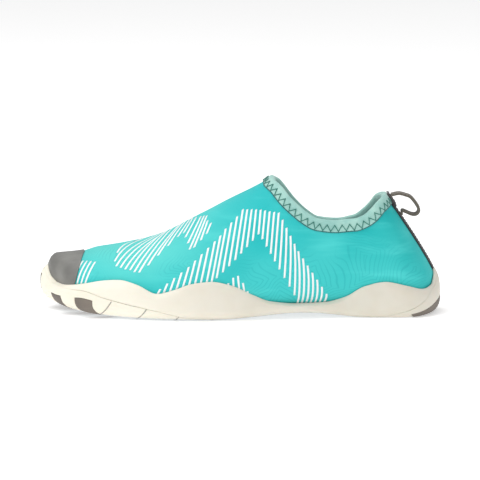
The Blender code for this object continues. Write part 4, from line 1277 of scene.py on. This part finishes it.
def rubberMaterial(name, treadToo):
    material, tree, spot = newMaterial(name, {
        "Roughness": 0.48, "Specular IOR Level": 0.42, "Subsurface Weight": 0.06, "Subsurface Scale": 0.004})
    where = spot["Object"]
    mottle = between(tree, noiseOn(tree, where, 45.0, 3.0), 0.35, 0.75)
    base = mixColour(tree, mottle, sole["cream"], sole["warm"])
    grain = noiseOn(tree, where, sole["grain"], 3.0)
    # painted shade: towards the heel end the rubber turns to the darker creams, standing in for the light falling
    # off there
    heel = mixColour(tree, mottle, sole["heelShadedCream"], sole["heelShadedWarm"])
    base = mixColour(tree, between(tree, axesOf(tree, where)[0], -0.11, 0.02), base, heel)
    layers = [(noiseOn(tree, where, 160.0, 3.0), 0.0004, 0.18), (grain, 0.00012, 0.3)]
    if treadToo:
        facing = axesOf(tree, addNode(tree, "ShaderNodeNewGeometry").outputs["Normal"])
        down = between(tree, facing[2], -0.80, -0.95)
        base = mixColour(tree, down, base, sole["tread"])
        stipple = times(tree, between(tree, cellsOn(tree, where, 620.0), 0.55, 0.15), down)
        grooveShade = treadGrooves(tree, where)
        # painted shade: the flex grooves, drawn by the shader with a bump, are also mixed towards a dark colour
        base = mixColour(tree, times(tree, grooveShade, 0.6), base, sole["grooveShade"])
        layers += [(stipple, 0.0003, 0.8), (grooveShade, -0.0008, 1.0)]
    return dress(material, base, layers, between(tree, grain, 0.2, 0.8, 0.42, 0.56))


def lugMaterial():
    material, tree, spot = newMaterial("darkLugRubber", {"Roughness": 0.62, "Specular IOR Level": 0.35})
    where = spot["Object"]
    grooveShade = treadGrooves(tree, where)
    cloud = between(tree, noiseOn(tree, where, 30.0, 3.0), 0.3, 0.7)
    base = mixColour(tree, cloud, sole["lug"], sole["lugDark"])
    # painted shade: the flex grooves across the lugs are mixed towards near black
    base = mixColour(tree, times(tree, grooveShade, 0.85), base, sole["lugGrooveShade"])
    return dress(material, base, [(cellsOn(tree, where, 950.0), 0.00016, 0.5), (grooveShade, -0.0008, 1.0)])


finishPiece(makeMidsole(), "midsole", "sole_rubber", rubberMaterial("creamRubber", False))
print("midsole made")
outsole, lugs = makeOutsole()
finishPiece(outsole, "outsole", "sole_rubber", rubberMaterial("treadRubber", True))
lugRubber = lugMaterial()
for lug, node in lugs:
    finishPiece(lug, node, "lug_rubber", lugRubber)
print("outsole and lugs made")

# Insole
insole = {"thickness": 0.0030, "grey": (0.56, 0.60, 0.60), "pale": (0.66, 0.70, 0.70)}


def makeInsole():
    inset = -(shoe["wall"] + 2 * shoe["gap"] + shoe["tuck"] * 0.5)

    def edge(lift, draw):
        def point(t, side):
            z = featherHeight(t) + lift
            p = lastPoint(t, side, z, inset - draw)
            return Vector((p.x, p.y, z))
        return point

    top = insole["thickness"]
    levels = [(0.0, 0.0008), (0.0006, 0.0001), (top * 0.6, 0.0), (top * 0.9, 0.0003), (top, 0.0010)]
    return ringSolid("footbed", [soleRing(edge(*level), soleSteps) for level in levels])


def insoleMaterial():
    material, tree, spot = newMaterial("footbedCloth", {"Roughness": 0.9, "Sheen Weight": 0.2})
    cloth = weaveOn(tree, spot["Object"], 0.0011, 0.0011)
    colour = mixColour(tree, between(tree, cloth, -0.6, 0.6), insole["grey"], insole["pale"])
    return dress(material, colour, [(cloth, 0.0001, 0.6)])


finishPiece(makeInsole(), "insole", "footbed_foam", insoleMaterial())
print("insole made")

# Camera, floor and light
studio = {
    "aim": (0.0, -0.018, 0.0489), "elevation": 9.0, "distance": 3.0, "frameWidth": 0.3118,
    "floor": 0.90, "glow": 0.38, "world": 0.48, "sensor": 36, "floorSize": 4.0, "floorLevel": -0.0001,
    "lit": (0.0, 0.0, 0.03),
    "lights": (
        ("keyLight", (-0.66, -0.46, 0.78), 0.7, 4.4),
        ("fillLight", (1.10, -1.00, 0.70), 1.4, 4.5),
        ("topLight", (-0.30, 0.25, 1.60), 1.6, 13.0)),
}


def aimed(name, data, spot, aim):
    thing = addObject(name, data)
    thing.location = spot
    thing.rotation_euler = (Vector(aim) - Vector(spot)).to_track_quat("-Z", "Y").to_euler()
    return thing


def setStudio():
    scene = bpy.context.scene
    scene.view_settings.view_transform = "Standard"
    camera = bpy.data.cameras.new("camera")
    camera.sensor_width = studio["sensor"]
    camera.lens = studio["sensor"] * studio["distance"] / studio["frameWidth"]
    angle, aim = math.radians(studio["elevation"]), Vector(studio["aim"])
    eye = aim + studio["distance"] * Vector((0, -math.cos(angle), math.sin(angle)))
    scene.camera = aimed("camera", camera, eye, aim)
    size, level = studio["floorSize"], studio["floorLevel"]
    corners = [(x * size, y * size, level) for x, y in ((-1, -1), (1, -1), (1, 1), (-1, 1))]
    floor = newPiece("floor", corners, [(0, 1, 2, 3)], smooth=False)
    floor.data.materials.append(newMaterial("studioPaper", {
        "Base Color": (*[studio["floor"]] * 3, 1), "Roughness": 0.85, "Emission Color": (1, 1, 1, 1),
        "Emission Strength": studio["glow"]})[0])
    for name, spot, width, power in studio["lights"]:
        light = bpy.data.lights.new(name, "AREA")
        light.size, light.energy = width, power
        aimed(name, light, spot, studio["lit"])
    world = bpy.data.worlds.new("studioAir")
    world.use_nodes = True
    air = world.node_tree.nodes["Background"].inputs
    air[0].default_value, air[1].default_value = (1, 1, 1, 1), studio["world"]
    scene.world = world


setStudio()
print("studio set")
